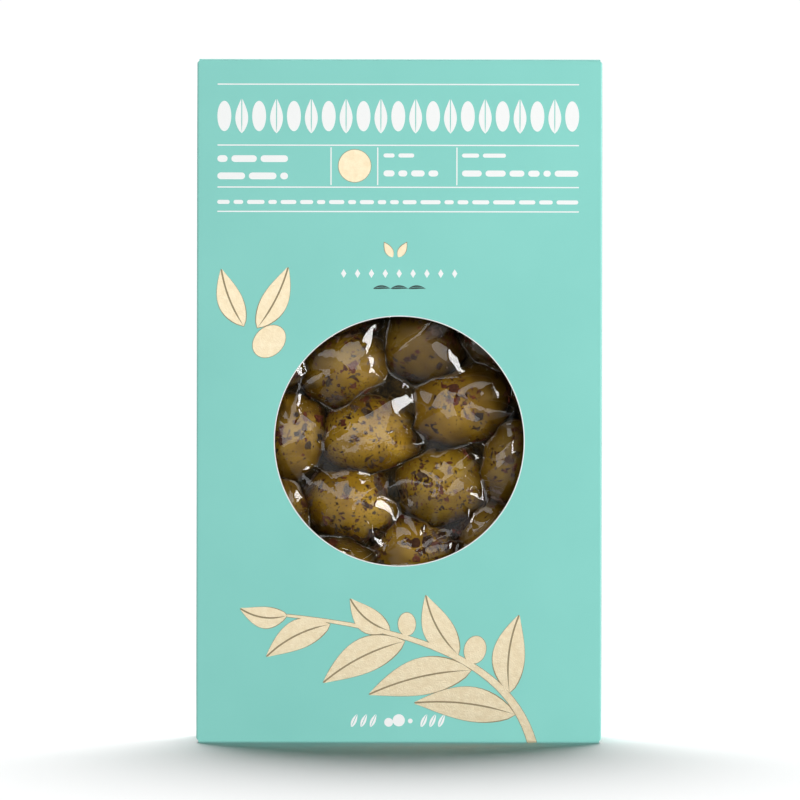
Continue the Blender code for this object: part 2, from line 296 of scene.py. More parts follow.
def olive_places():
    """Every olive as its middle, its half length, depth and width, and its tilt."""
    rough = []
    for x, z, long, wide, tilt, back in SHOWN_OLIVES:
        place = (x * MM, WINDOW_HEIGHT + z * MM)
        rough.append((*place, long * MM, wide * MM, math.radians(tilt), back * MM))
    draw = random.Random(HIDDEN_SEED)
    for row in range(HIDDEN_ROWS):
        shift = ROW_SHIFT if row % 2 else -ROW_SHIFT
        for column in HIDDEN_COLUMNS:
            x = (column + shift) * COLUMN_PITCH + draw.uniform(-1, 1) * HIDDEN_JITTER
            z = FIRST_ROW + row * ROW_PITCH + draw.uniform(-1, 1) * HIDDEN_JITTER
            tilt = math.radians(draw.uniform(-HIDDEN_TILT, HIDDEN_TILT))
            long = draw.uniform(*HIDDEN_LENGTH)
            wide = draw.uniform(*HIDDEN_WIDTH)
            near = [o for o in rough if math.hypot(x - o[0], z - o[1]) < LEAST_SPACING]
            if abs(x) < COLUMN_REACH and not near:
                rough.append((x, z, long, wide, tilt, HIDDEN_SETBACK))
    placed = []
    for x, z, long, wide, tilt, back in rough:
        full = float(fullness(x, z))
        depth = -(FOREMOST_TOP - OLIVE_HALF_DEPTH - back) * full
        placed.append(((x, depth, z), (long, OLIVE_HALF_DEPTH * full, wide), tilt))
    return placed


def new_tree(name, kind, inputs, outputs):
    """An empty node group with named inputs, given as (kind of socket, name, value), and outputs."""
    tree = bpy.data.node_groups.new(name, kind)
    for socket_kind, label, value in inputs:
        socket = tree.interface.new_socket(label, in_out="INPUT", socket_type=socket_kind)
        if value is not None:
            socket.default_value = value
    for socket_kind, label in outputs:
        tree.interface.new_socket(label, in_out="OUTPUT", socket_type=socket_kind)
    return tree, tree.nodes.new("NodeGroupInput"), tree.nodes.new("NodeGroupOutput")


def grown(name, host_mesh, tree, values):
    """An object with the plain mesh that a node tree makes from a host mesh."""
    item = in_scene(name, host_mesh)
    modifier = item.modifiers.new(name, "NODES")
    modifier.node_group = tree
    for socket in tree.interface.items_tree:
        if socket.in_out == "INPUT" and socket.name in values:
            modifier[socket.identifier] = values[socket.name]
    depsgraph = bpy.context.evaluated_depsgraph_get()
    mesh = bpy.data.meshes.new_from_object(
        item.evaluated_get(depsgraph), preserve_all_data_layers=True, depsgraph=depsgraph
    )
    item.modifiers.remove(modifier)
    item.data = mesh
    mesh.name = name
    return item


def sums(tree, operation, *values):
    """The result of a sum of numbers, each a plain one or a socket."""
    made = add_node(tree, "ShaderNodeMath", dict(enumerate(values)), operation=operation)
    return made.outputs[0]


def vector_sums(tree, operation, *values):
    """The result of a sum of vectors: a distance as a number, all others as a vector."""
    made = add_node(tree, "ShaderNodeVectorMath", dict(enumerate(values)), operation=operation)
    return made.outputs["Value" if operation == "DISTANCE" else "Vector"]


def scaled(tree, vector, size):
    inputs = {0: vector, "Scale": size}
    return add_node(tree, "ShaderNodeVectorMath", inputs, operation="SCALE").outputs[0]


def ranged(tree, value, low, high, to_low=0.0, to_high=1.0):
    """A number taken from one range to another."""
    limits = {0: value, 1: low, 2: high, 3: to_low, 4: to_high}
    return add_node(tree, "ShaderNodeMapRange", limits).outputs[0]


def noise(tree, place, per_metre, detail):
    inputs = {"Vector": place, "Scale": per_metre, "Detail": detail}
    return add_node(tree, "ShaderNodeTexNoise", inputs)


def named(tree, name, kind):
    """A value that each point of a mesh carries under a name."""
    return add_node(
        tree, "GeometryNodeInputNamedAttribute", {"Name": name}, data_type=kind
    ).outputs["Attribute"]


def olive_tree():
    """Nodes that lay a ball, drawn in towards its ends, on each point, and dent the skins."""
    geometry, number = "NodeSocketGeometry", "NodeSocketFloat"
    tree, given, made = new_tree(
        "olive_layer",
        "GeometryNodeTree",
        [
            (geometry, "Places", None),
            ("NodeSocketInt", "Sides", BALL_SIDES),
            ("NodeSocketInt", "Rings", BALL_RINGS),
            (number, "Pointed", POINTED),
            (number, "Dent depth", DENT_DEPTH),
            (number, "Dents per metre", DENTS_PER_METRE),
            ("NodeSocketMaterial", "Skin", None),
        ],
        [(geometry, "Olives")],
    )
    given = given.outputs
    counts = {"Segments": given["Sides"], "Rings": given["Rings"], "Radius": 1.0}
    ball = add_node(tree, "GeometryNodeMeshUVSphere", counts).outputs["Mesh"]
    on_side = {"Geometry": ball, "Rotation": (0, math.pi / 2, 0)}
    laid = add_node(tree, "GeometryNodeTransform", on_side).outputs[0]
    at = add_node(tree, "GeometryNodeInputPosition").outputs[0]
    along = add_node(tree, "ShaderNodeSeparateXYZ", {0: at}).outputs["X"]
    squeeze = sums(tree, "MULTIPLY", sums(tree, "POWER", along, 4.0), given["Pointed"])
    keep = sums(tree, "SUBTRACT", 1.0, squeeze)
    waist = add_node(tree, "ShaderNodeCombineXYZ", {"X": 1.0, "Y": keep, "Z": keep}).outputs[0]
    drawn = {"Geometry": laid, "Position": vector_sums(tree, "MULTIPLY", at, waist)}
    shaped = add_node(tree, "GeometryNodeSetPosition", drawn).outputs[0]
    turn = add_node(tree, "FunctionNodeEulerToRotation", {0: named(tree, "turn", "FLOAT_VECTOR")})
    placed = add_node(
        tree,
        "GeometryNodeInstanceOnPoints",
        {
            "Points": given["Places"],
            "Instance": shaped,
            "Rotation": turn.outputs[0],
            "Scale": named(tree, "size", "FLOAT_VECTOR"),
        },
    )
    real = add_node(tree, "GeometryNodeRealizeInstances", {0: placed.outputs[0]}).outputs[0]
    dents = noise(tree, at, given["Dents per metre"], 1.0).outputs[0]
    deep = sums(tree, "MULTIPLY", sums(tree, "SUBTRACT", dents, DENT_LEVEL), given["Dent depth"])
    normal = add_node(tree, "GeometryNodeInputNormal").outputs[0]
    dent = {"Geometry": real, "Offset": scaled(tree, normal, deep)}
    dented = add_node(tree, "GeometryNodeSetPosition", dent).outputs[0]
    smooth = add_node(tree, "GeometryNodeSetShadeSmooth", {"Geometry": dented}).outputs[0]
    finish = {"Geometry": smooth, "Material": given["Skin"]}
    skinned = add_node(tree, "GeometryNodeSetMaterial", finish).outputs[0]
    tree.links.new(skinned, made.inputs["Olives"])
    return tree


def new_material(name, **sockets):
    """A material with its Principled shader's plain sockets set, as (material, tree, shader)."""
    material = bpy.data.materials.new(name)
    material.use_nodes = True
    shader = material.node_tree.nodes["Principled BSDF"]
    for label, value in sockets.items():
        shader.inputs[label.replace("_", " ")].default_value = value
    return material, material.node_tree, shader


def grain_group():
    """A fine grain, a coarse mottle and both together, from noise on the object's own place."""
    number = "NodeSocketFloat"
    group, given, made = new_tree(
        "grain",
        "ShaderNodeTree",
        [(number, "Fine per metre", 4000.0), (number, "Coarse per metre", 60.0)],
        [(number, "Fine"), (number, "Coarse"), (number, "Both")],
    )
    place = add_node(group, "ShaderNodeTexCoord").outputs["Object"]
    fine = noise(group, place, given.outputs[0], 3.0).outputs["Fac"]
    coarse = noise(group, place, given.outputs[1], 4.0).outputs["Fac"]
    both = sums(group, "MULTIPLY", fine, coarse)
    for label, value in (("Fine", fine), ("Coarse", coarse), ("Both", both)):
        group.links.new(value, made.inputs[label])
    return group


GRAIN = grain_group()


def add_grain(tree, fine, coarse):
    """The outputs of the grain group in a material, with its own scales per metre."""
    scales = {"Fine per metre": fine, "Coarse per metre": coarse}
    return add_node(tree, "ShaderNodeGroup", scales, node_tree=GRAIN).outputs


def ramp(tree, factor, stops):
    """A colour ramp with its stops given as (place, colour)."""
    made = add_node(tree, "ShaderNodeValToRGB", {0: factor})
    band = made.color_ramp
    band.elements[0].position, band.elements[0].color = stops[0]
    band.elements[1].position, band.elements[1].color = stops[-1]
    for place, colour in stops[1:-1]:
        band.elements.new(place).color = colour
    return made.outputs["Color"]


def multiplied(tree, colour, by):
    """One colour dimmed by another."""
    colours = {0: 1.0, 6: colour, 7: by}
    made = add_node(tree, "ShaderNodeMix", colours, data_type="RGBA", blend_type="MULTIPLY")
    return made.outputs[2]


def bump(tree, shader, height, distance):
    """A relief in the finish, with the depth of its grain in metres."""
    made = add_node(tree, "ShaderNodeBump", {"Height": height, "Distance": distance})
    tree.links.new(made.outputs[0], shader.inputs["Normal"])


def olive_skin():
    """Brined green skin: khaki gold, mottled, each of its own tone, darker with depth through the oil
    and by painted shade, and with painted shade out towards the window's rim.
    """
    material, tree, shader = new_material("olive_skin", Roughness=0.42, Specular_IOR_Level=0.12)
    grain = add_grain(tree, *SKIN_GRAIN)
    mottled = ramp(tree, grain["Coarse"], SKIN_COLOURS)
    tone = add_node(tree, "ShaderNodeAttribute", attribute_name="tone").outputs["Fac"]
    own = multiplied(tree, mottled, ramp(tree, tone, SKIN_SHADES))
    place = add_node(tree, "ShaderNodeTexCoord").outputs["Object"]
    depth = add_node(tree, "ShaderNodeSeparateXYZ", {0: place}).outputs["Y"]
    # Painted shade with the oil's dimming: the deeper a skin lies, the darker it is painted.
    deep_share = ranged(tree, depth, -FOREMOST_TOP, 0.0)
    seen = multiplied(tree, own, ramp(tree, deep_share, DEPTH_OIL_AND_SHADE))
    # Painted shade, darker out from one place in the window towards its rim.
    flat = vector_sums(tree, "MULTIPLY", place, (1.0, 0.0, 1.0))
    away = vector_sums(tree, "DISTANCE", flat, LEAST_SHADE_MIDDLE)
    painted_shade_share = ranged(tree, away, UNSHADED_REACH, FULL_SHADE_REACH)
    painted_shade_skin = multiplied(tree, seen, ramp(tree, painted_shade_share, OUTWARD_PAINTED_SHADE))
    tree.links.new(painted_shade_skin, shader.inputs["Base Color"])
    bump(tree, shader, grain["Fine"], SKIN_RELIEF)
    return material


OLIVES = olive_places()
tone_draw = random.Random(TONE_SEED)
places = bpy.data.meshes.new("olive_places")
places.from_pydata([middle for middle, _, _ in OLIVES], [], [])
for label, kind in (("size", "FLOAT_VECTOR"), ("turn", "FLOAT_VECTOR"), ("tone", "FLOAT")):
    places.attributes.new(label, kind, "POINT")
for index, (_, size, tilt) in enumerate(OLIVES):
    places.attributes["size"].data[index].vector = size
    places.attributes["turn"].data[index].vector = (0, -tilt, 0)
    places.attributes["tone"].data[index].value = tone_draw.random()
olives = grown("olives", places, olive_tree(), {"Skin": olive_skin()})
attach(olives, "root")


# The herbs: crumbled dried leaf, from dust to flakes of three millimetres, stuck to the oily
# skins under the film. Nodes scatter ragged discs in clusters over the sides that show.
HERB_REACH = 0.045
HERB_KINDS = (
    # name, flakes per square metre, smallest, largest, seed, clusters and tears per metre
    ("herb_dust", 1850000.0, 0.00010, 0.00028, 3, 75.0, 5200.0),
    ("herb_flakes", 650000.0, 0.00028, 0.00080, 8, 95.0, 1900.0),
    ("herb_leaves", 200000.0, 0.00075, 0.00190, 5, 95.0, 1100.0),
)
HERB_SIDES = 9
HERB_THICKNESS = 0.00010
RAGGEDNESS = 2.4
# Flakes lie on the skins that face forward by at least this much.
LEAST_FACING = -0.12
# Where the clustering noise is low few flakes lie, and where it is high all of them do.
CLUSTER_RANGE = (0.46, 0.66)
FEWEST_SHARE = 0.06
SMALL_MOSTLY = 2.4
SLIMMEST = 0.35
FULL_TWIST = 6.283
RADIUS_SEED, WIDTH_SEED, TWIST_SEED, SHADE_SEED = 21, 22, 23, 24
TEARS_UP = 0.05
LEAF_GRAIN = (5200.0, 1500.0)
LEAF_RELIEF = 0.00005
LEAF_COLOURS = (
    (0.0, (0.014, 0.007, 0.003, 1)),
    (0.35, (0.040, 0.016, 0.007, 1)),
    (0.60, (0.085, 0.022, 0.012, 1)),
    (0.80, (0.034, 0.022, 0.010, 1)),
    (1.0, (0.100, 0.066, 0.050, 1)),
)
LEAF_MOTTLE = ((0.3, (0.55, 0.55, 0.55, 1)), (0.7, (1.3, 1.25, 1.2, 1)))


def any_between(tree, low, high, seed):
    """A number of its own for each flake."""
    limits = {"Min": low, "Max": high, "Seed": seed}
    return add_node(tree, "FunctionNodeRandomValue", limits, data_type="FLOAT").outputs[1]


def stored(tree, flakes, name, value):
    """Flakes that carry a value under a name, one for each whole flake."""
    made = add_node(
        tree,
        "GeometryNodeStoreNamedAttribute",
        {"Geometry": flakes, "Name": name, "Value": value},
        data_type="FLOAT",
        domain="INSTANCE",
    )
    return made.outputs[0]


def herb_tree():
    """Nodes that scatter ragged discs over the skins that show in the window."""
    geometry, number = "NodeSocketGeometry", "NodeSocketFloat"
    tree, given, made = new_tree(
        "herb_scatter",
        "GeometryNodeTree",
        [
            (geometry, "Olives", None),
            (number, "Per square metre", 100000.0),
            (number, "Smallest", 0.0002),
            (number, "Largest", 0.001),
            (number, "Thickness", HERB_THICKNESS),
            (number, "Clusters per metre", 100.0),
            (number, "Raggedness", RAGGEDNESS),
            (number, "Tears per metre", 1900.0),
            ("NodeSocketVector", "Window centre", (0.0, 0.0, WINDOW_HEIGHT)),
            (number, "Reach", HERB_REACH),
            ("NodeSocketInt", "Seed", 1),
            ("NodeSocketMaterial", "Leaf", None),
        ],
        [(geometry, "Herbs")],
    )
    given = given.outputs

    at = add_node(tree, "GeometryNodeInputPosition").outputs[0]
    normal = add_node(tree, "GeometryNodeInputNormal").outputs[0]
    facing = add_node(tree, "ShaderNodeSeparateXYZ", {0: normal}).outputs["Y"]
    flat = vector_sums(tree, "MULTIPLY", at, (1.0, 0.0, 1.0))
    away = vector_sums(tree, "DISTANCE", flat, given["Window centre"])
    front, inside = (
        add_node(tree, "FunctionNodeCompare", {0: value, 1: limit}, operation="LESS_THAN").outputs[0]
        for value, limit in ((facing, LEAST_FACING), (away, given["Reach"]))
    )
    shown = add_node(tree, "FunctionNodeBooleanMath", {0: front, 1: inside}, operation="AND")
    cluster = noise(tree, at, given["Clusters per metre"], 2.0).outputs[0]
    share = ranged(tree, cluster, *CLUSTER_RANGE, FEWEST_SHARE, 1.0)
    spots = add_node(
        tree,
        "GeometryNodeDistributePointsOnFaces",
        {
            "Mesh": given["Olives"],
            "Selection": shown.outputs[0],
            "Density": sums(tree, "MULTIPLY", share, given["Per square metre"]),
            "Seed": given["Seed"],
        },
    )

    outline = {"Vertices": HERB_SIDES, "Radius": 1.0, "Depth": 1.0}
    disc = add_node(tree, "GeometryNodeMeshCylinder", outline).outputs["Mesh"]
    few_large = sums(tree, "POWER", any_between(tree, 0.0, 1.0, RADIUS_SEED), SMALL_MOSTLY)
    radius = ranged(tree, few_large, 0.0, 1.0, given["Smallest"], given["Largest"])
    narrow = sums(tree, "MULTIPLY", radius, any_between(tree, SLIMMEST, 1.0, WIDTH_SEED))
    lengths = {"X": radius, "Y": narrow, "Z": given["Thickness"]}
    placed = add_node(
        tree,
        "GeometryNodeInstanceOnPoints",
        {
            "Points": spots.outputs["Points"],
            "Instance": disc,
            "Rotation": spots.outputs["Rotation"],
            "Scale": add_node(tree, "ShaderNodeCombineXYZ", lengths).outputs[0],
        },
    ).outputs[0]
    twist = add_node(tree, "ShaderNodeCombineXYZ", {"Z": any_between(tree, 0.0, FULL_TWIST, TWIST_SEED)})
    turned = {"Instances": placed, "Rotation": twist.outputs[0], "Local Space": True}
    twisted = add_node(tree, "GeometryNodeRotateInstances", turned).outputs[0]
    toned = stored(tree, twisted, "tone", any_between(tree, 0.0, 1.0, SHADE_SEED))
    sized = stored(tree, toned, "radius", radius)
    real = add_node(tree, "GeometryNodeRealizeInstances", {0: sized}).outputs[0]

    rag = noise(tree, at, given["Tears per metre"], 1.0).outputs["Color"]
    centred = vector_sums(tree, "SUBTRACT", rag, (0.5, 0.5, 0.5))
    amount = sums(tree, "MULTIPLY", named(tree, "radius", "FLOAT"), given["Raggedness"])
    tear = scaled(tree, centred, amount)
    level = vector_sums(tree, "MULTIPLY", tear, (1.0, TEARS_UP, 1.0))
    torn = add_node(tree, "GeometryNodeSetPosition", {"Geometry": real, "Offset": level}).outputs[0]
    finish = {"Geometry": torn, "Material": given["Leaf"]}
    dressed = add_node(tree, "GeometryNodeSetMaterial", finish).outputs[0]
    tree.links.new(dressed, made.inputs["Herbs"])
    return tree


def herb_leaf():
    """Dried leaf in oil: black brown, red brown and greyish brown, each flake's tone drawn at random."""
    material, tree, shader = new_material("dried_herb", Roughness=0.6, Specular_IOR_Level=0.08)
    tone = add_node(tree, "ShaderNodeAttribute", attribute_name="tone").outputs["Fac"]
    grain = add_grain(tree, *LEAF_GRAIN)
    mottle = ramp(tree, grain["Coarse"], LEAF_MOTTLE)
    uneven = multiplied(tree, ramp(tree, tone, LEAF_COLOURS), mottle)
    tree.links.new(uneven, shader.inputs["Base Color"])
    bump(tree, shader, grain["Fine"], LEAF_RELIEF)
    return material


leaf_matter = herb_leaf()
scatter = herb_tree()
for name, count, smallest, largest, seed, clusters, tears in HERB_KINDS:
    herbs = grown(
        name,
        olives.data.copy(),
        scatter,
        {
            "Per square metre": count,
            "Smallest": smallest,
            "Largest": largest,
            "Clusters per metre": clusters,
            "Tears per metre": tears,
            "Seed": seed,
            "Leaf": leaf_matter,
        },
    )
    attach(herbs, "root")


# The oil: it fills the pouch behind and between the olives, dark with herb dust where it is deep.
# It is one flat cushion inside the film, from a little behind the olives' middles to the back.
OIL_FRONT = 0.0032
PLUMP_BACK = 0.0133
OIL_STEP = 0.004
OIL_INSET = 0.0001
OIL_BACK_INSET = 0.0006
OIL_GRAIN = (1800.0, 260.0)
OIL_RELIEF = 0.0001
OIL_COLOURS = ((0.15, (0.010, 0.006, 0.002, 1)), (0.40, (0.070, 0.042, 0.008, 1)))


def even_lines(low, high, step):
    return np.linspace(low, high, max(2, round((high - low) / step) + 1))


def grid_faces(rows, columns, first=0, flip=False):
    """Quads of a grid of vertices that are numbered along x and then up z."""
    index = first + np.arange(rows * columns).reshape(rows, columns)
    near, right = index[:-1, :-1], index[:-1, 1:]
    above, far = index[1:, :-1], index[1:, 1:]
    corners = (near, above, far, right) if flip else (near, right, far, above)
    return np.stack(corners, -1).reshape(-1, 4)


def ring_indices(rows, columns, first=0):
    """The outermost vertices of such a grid, in order round it."""
    index = first + np.arange(rows * columns).reshape(rows, columns)
    return np.concatenate([index[0, :-1], index[:-1, -1], index[-1, :0:-1], index[:0:-1, 0]])


def mesh_object(name, points, faces, material):
    """A smooth piece from its points and faces, riding on the pack."""
    mesh = bpy.data.meshes.new(name)
    mesh.from_pydata([tuple(map(float, point)) for point in points], [], faces)
    mesh.shade_smooth()
    mesh.materials.append(material)
    item = in_scene(name, mesh)
    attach(item, "root")
    return item


def grained(name, scales, tint, stops, relief, depth, **sockets):
    """A finish with its colour from one part of the grain and its relief from another."""
    material, tree, shader = new_material(name, **sockets)
    grain = add_grain(tree, *scales)
    tree.links.new(ramp(tree, grain[tint], stops), shader.inputs["Base Color"])
    bump(tree, shader, grain[relief], depth)
    return material


def oil_matter():
    """Oil clouded by herb dust: dark, and glossy only through the film over it."""
    sockets = dict(Roughness=0.35, Specular_IOR_Level=0.1)
    return grained("herb_oil", OIL_GRAIN, "Both", OIL_COLOURS, "Fine", OIL_RELIEF, **sockets)


oil_x = even_lines(-POUCH_HALF + SEAL_WIDTH, POUCH_HALF - SEAL_WIDTH, OIL_STEP)
oil_z = even_lines(POUCH_LOW.z + END_SEAL_WIDTH, POUCH_HIGH.z - END_SEAL_WIDTH, OIL_STEP)
grid_x, grid_z = np.meshgrid(oil_x, oil_z)
plump = fullness(grid_x, grid_z)
oil_front = np.stack([grid_x, OIL_FRONT * plump - OIL_INSET, grid_z], -1).reshape(-1, 3)
back_y = (PLUMP_BACK - OIL_BACK_INSET) * plump + OIL_INSET
oil_back = np.stack([grid_x, back_y, grid_z], -1).reshape(-1, 3)
shape = (len(oil_z), len(oil_x))
front_ring, back_ring = ring_indices(*shape), ring_indices(*shape, first=len(oil_front))
oil_rim = np.stack([front_ring, back_ring, np.roll(back_ring, -1), np.roll(front_ring, -1)], -1)
oil_faces = np.concatenate(
    [grid_faces(*shape), grid_faces(*shape, first=len(oil_front), flip=True), oil_rim]
).tolist()
oil = mesh_object("herb_oil", np.concatenate([oil_front, oil_back]), oil_faces, oil_matter())


# The pouch: clear film sealed round the olives and drawn down on them by the vacuum.
# The film can't stretch, so over each olive it makes folds that run out to the hollows between
# its neighbours, with a sharp ridge on each. Behind the board it follows the olives plainly.
FILM_HALF = 0.042
FILM_STEP = 0.0003
SHEET_LINES = np.linspace(-FILM_HALF, FILM_HALF, round(2 * FILM_HALF / FILM_STEP) + 1)
OUTER_STEP = 0.0040
BACK_EVERY = 5
FILM_FOREMOST = -0.01445
FILM_EASE = 0.005
WEB_DEPTH = 0.0036
WEB_BLEND = 0.0030
CONTACT_LIMIT = 0.86
LEAST_FULLNESS = 0.1
VALLEY_DEPTH = 0.0012
VALLEY_BLEND = 0.0012
FOLD_CONTACT = 0.80
NEIGHBOUR_REACH = 0.031
WIDE_GAP = 1.9
# A fold carries the olive's outline out to this many times its radius, over this angle.
FOLD_OUT = (1.25, 2.10)
FOLD_SPREAD = (0.40, 1.00)
FOLD_TURN = 0.20
FOLD_BEND = 0.30
FOLD_BENDS_FROM = 0.5
FOLD_KEPT = 0.85
FOLD_SEED = 3
# Over the folds the film is crumpled into curved facets, each a shallow dish of its own.
FACETS = 70
FACET_STEEP = (0.14, 0.40)
FACET_STRETCH = (1.0, 2.1)
FACET_ROUND = 0.0007
FACET_SEED = 9
CREASES = 90
CREASE_HEIGHT = (0.00006, 0.00030)
CREASE_WIDTH = (0.0004, 0.0011)
CREASE_LENGTH = (0.004, 0.012)
CREASE_BOW = 0.3
CREASE_SEED = 4
FILM_GRAIN = (900.0, 210.0)
FILM_RELIEF = 0.00004
FILM_CLEAR = (1.0, 0.985, 0.93, 1)
FILM_SHADE = (0.95, 0.93, 0.86, 1)


def soft_max(one, other, blend):
    """The higher of two heights, rounded where they meet."""
    near = np.maximum(blend - np.abs(one - other), 0) / blend
    return np.maximum(one, other) + near * near * blend / 4


def turned_to(u, v, heading):
    """A place along and across a heading."""
    along = u * math.cos(heading) + v * math.sin(heading)
    return along, v * math.cos(heading) - u * math.sin(heading)


def olive_axes(olive, x, z):
    """A place as seen from an olive's middle, along and across it in shares of its radii."""
    (middle_x, _, middle_z), (long, _, wide), tilt = olive
    along, across = turned_to(x - middle_x, z - middle_z, tilt)
    return along / long, across / wide


def film_over(olive, share, contact):
    """The film's height at a share of an olive's radius: it leaves the olive past the contact."""
    (middle_x, middle_y, middle_z), _, _ = olive
    edge = math.sqrt(1 - contact**2)
    leaving = edge - contact / edge * (share - contact)
    rise = np.where(share < contact, np.sqrt(np.maximum(1 - share * share, 0)), leaving)
    foot = -middle_y / max(float(fullness(middle_x, middle_z)), LEAST_FULLNESS)
    return rise * OLIVE_HALF_DEPTH + foot


def film_height(x, z):
    """How far the film stands before the pouch's middle plane, from the olives under it."""
    top = np.full(x.shape, WEB_DEPTH)
    for olive in OLIVES:
        share = np.hypot(*olive_axes(olive, x, z))
        top = soft_max(top, film_over(olive, share, CONTACT_LIMIT), WEB_BLEND)
    return top * fullness(x, z) + SEAL_THICKNESS / 2


def hollows(olive):
    """The directions of the hollows between an olive's neighbours, as seen from its middle."""
    ways = []
    for other in OLIVES:
        x, _, z = other[0]
        if 0 < math.hypot(x - olive[0][0], z - olive[0][2]) < NEIGHBOUR_REACH:
            along, across = olive_axes(olive, x, z)
            ways.append(math.atan2(across, along))
    ways.sort()
    found = []
    for way, following in zip(ways, ways[1:] + [ways[0] + 2 * math.pi]):
        parts = 1 if following - way < WIDE_GAP else 2
        found += [way + (following - way) * part / (parts + 1) for part in range(1, parts + 1)]
    return found


def folded_height(x, z):
    """The film's height in the window, with its folds and the fine creases across them."""
    draw = random.Random(FOLD_SEED)
    top = np.full(x.shape, VALLEY_DEPTH)
    for olive in OLIVES:
        along, across = olive_axes(olive, x, z)
        share, way = np.hypot(along, across), np.arctan2(across, along)
        out = np.ones_like(share)
        for hollow in hollows(olive):
            far, spread = draw.uniform(*FOLD_OUT), draw.uniform(*FOLD_SPREAD)
            turn, bend = draw.uniform(-FOLD_TURN, FOLD_TURN), draw.uniform(-FOLD_BEND, FOLD_BEND)
            if draw.random() < FOLD_KEPT:
                bent = turn + bend * (share - FOLD_BENDS_FROM)
                off = (way - hollow - bent + math.pi) % (2 * math.pi)
                ridge = np.maximum(1 - np.abs(off - math.pi) / spread, 0)
                out = np.maximum(out, 1 + (far - 1) * ridge)
        top = soft_max(top, film_over(olive, share / out, FOLD_CONTACT), VALLEY_BLEND)
    facets = random.Random(FACET_SEED)
    crumple = np.ones_like(top)
    for _ in range(FACETS):
        u = x - facets.uniform(-FILM_HALF, FILM_HALF)
        v = z - WINDOW_HEIGHT - facets.uniform(-FILM_HALF, FILM_HALF)
        heading, stretch = facets.uniform(0, math.pi), facets.uniform(*FACET_STRETCH)
        along, across = turned_to(u, v, heading)
        along, across = along / stretch, across * stretch
        reach = np.sqrt(along**2 + across**2 + FACET_ROUND**2) - FACET_ROUND
        crumple = np.minimum(crumple, reach * facets.uniform(*FACET_STEEP))
    top += crumple
    creases = random.Random(CREASE_SEED)
    for _ in range(CREASES):
        middle_x = creases.uniform(-WINDOW_RADIUS, WINDOW_RADIUS)
        middle_z = WINDOW_HEIGHT + creases.uniform(-WINDOW_RADIUS, WINDOW_RADIUS)
        heading = creases.uniform(0, math.pi)
        half = creases.uniform(*CREASE_LENGTH) / 2
        height, width = creases.uniform(*CREASE_HEIGHT), creases.uniform(*CREASE_WIDTH)
        along, across = turned_to(x - middle_x, z - middle_z, heading)
        run = along / half
        off = across + CREASE_BOW * half * run * run
        top += height * ease(1 - np.abs(run)) * np.exp(-np.abs(off) / width)
    return top * fullness(x, z) + SEAL_THICKNESS / 2


def window_film():
    """The film's points in the window, eased at the rim into the plain film round it."""
    x, z = np.meshgrid(SHEET_LINES, WINDOW_HEIGHT + SHEET_LINES)
    rim = np.minimum(FILM_HALF - np.abs(x), FILM_HALF - np.abs(z - WINDOW_HEIGHT))
    free = ease(rim / FILM_EASE)
    height = film_height(x, z) * (1 - free) + folded_height(x, z) * free
    return np.stack([x, np.maximum(-height, FILM_FOREMOST), z], -1)


def film_lines(low, high, centre):
    """Lines over the pouch: fine ones over the window's sheet, and wider ones beside it."""
    fine = centre + SHEET_LINES
    sides = []
    for start, end in ((low, fine[0]), (fine[-1], high)):
        count = BACK_EVERY * max(1, round((end - start) / OUTER_STEP / BACK_EVERY))
        sides.append(np.linspace(start, end, count + 1))
    return np.concatenate([sides[0][:-1], fine, sides[1][1:]]), len(sides[0]) - 1


def clear_film():
    """Clear bag film wet with oil beneath: smooth and glossy, and lamps shine through it."""
    material, tree, shader = new_material(
        "clear_film", Roughness=0.02, IOR=1.47, Transmission_Weight=1.0, Base_Color=FILM_CLEAR
    )
    bump(tree, shader, add_grain(tree, *FILM_GRAIN)["Coarse"], FILM_RELIEF)
    rays = add_node(tree, "ShaderNodeLightPath")
    clear = add_node(tree, "ShaderNodeBsdfTransparent", {"Color": FILM_SHADE}).outputs[0]
    shown = either(tree, rays.outputs["Is Shadow Ray"], shader.outputs[0], clear)
    tree.links.new(shown, tree.nodes["Material Output"].inputs["Surface"])
    return material


film_x, left_of_window = film_lines(-POUCH_HALF, POUCH_HALF, 0.0)
film_z, below_window = film_lines(POUCH_LOW.z, POUCH_HIGH.z, WINDOW_HEIGHT)
grid_x, grid_z = np.meshgrid(film_x, film_z)
film_front = np.stack([grid_x, -film_height(grid_x, grid_z), grid_z], -1)
in_window = window_film()
count = len(in_window)
window_rows = slice(below_window, below_window + count)
window_columns = slice(left_of_window, left_of_window + count)
film_front[window_rows, window_columns] = in_window
back_x, back_z = grid_x[::BACK_EVERY, ::BACK_EVERY], grid_z[::BACK_EVERY, ::BACK_EVERY]
back_depth = PLUMP_BACK * fullness(back_x, back_z) + SEAL_THICKNESS / 2
film_back = np.stack([back_x, back_depth, back_z], -1)
first_back = film_front.shape[0] * film_front.shape[1]
film_faces = grid_faces(*grid_x.shape).tolist()
film_faces += grid_faces(*back_x.shape, first=first_back, flip=True).tolist()
front_ring = ring_indices(*grid_x.shape)
back_ring = ring_indices(*back_x.shape, first=first_back)
for index, near in enumerate(back_ring):
    edge = [front_ring[(BACK_EVERY * index + k) % len(front_ring)] for k in range(BACK_EVERY + 1)]
    far = back_ring[(index + 1) % len(back_ring)]
    half = BACK_EVERY // 2
    for k in range(BACK_EVERY):
        hub = near if k < half else far
        film_faces.append((int(edge[k]), int(hub), int(edge[k + 1])))
    film_faces.append((int(near), int(far), int(edge[half])))
film_points = np.concatenate([film_front.reshape(-1, 3), film_back.reshape(-1, 3)])
film = mesh_object("pouch_film", film_points, film_faces, clear_film())
for piece in (olives, oil, film):
    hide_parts("pouch")

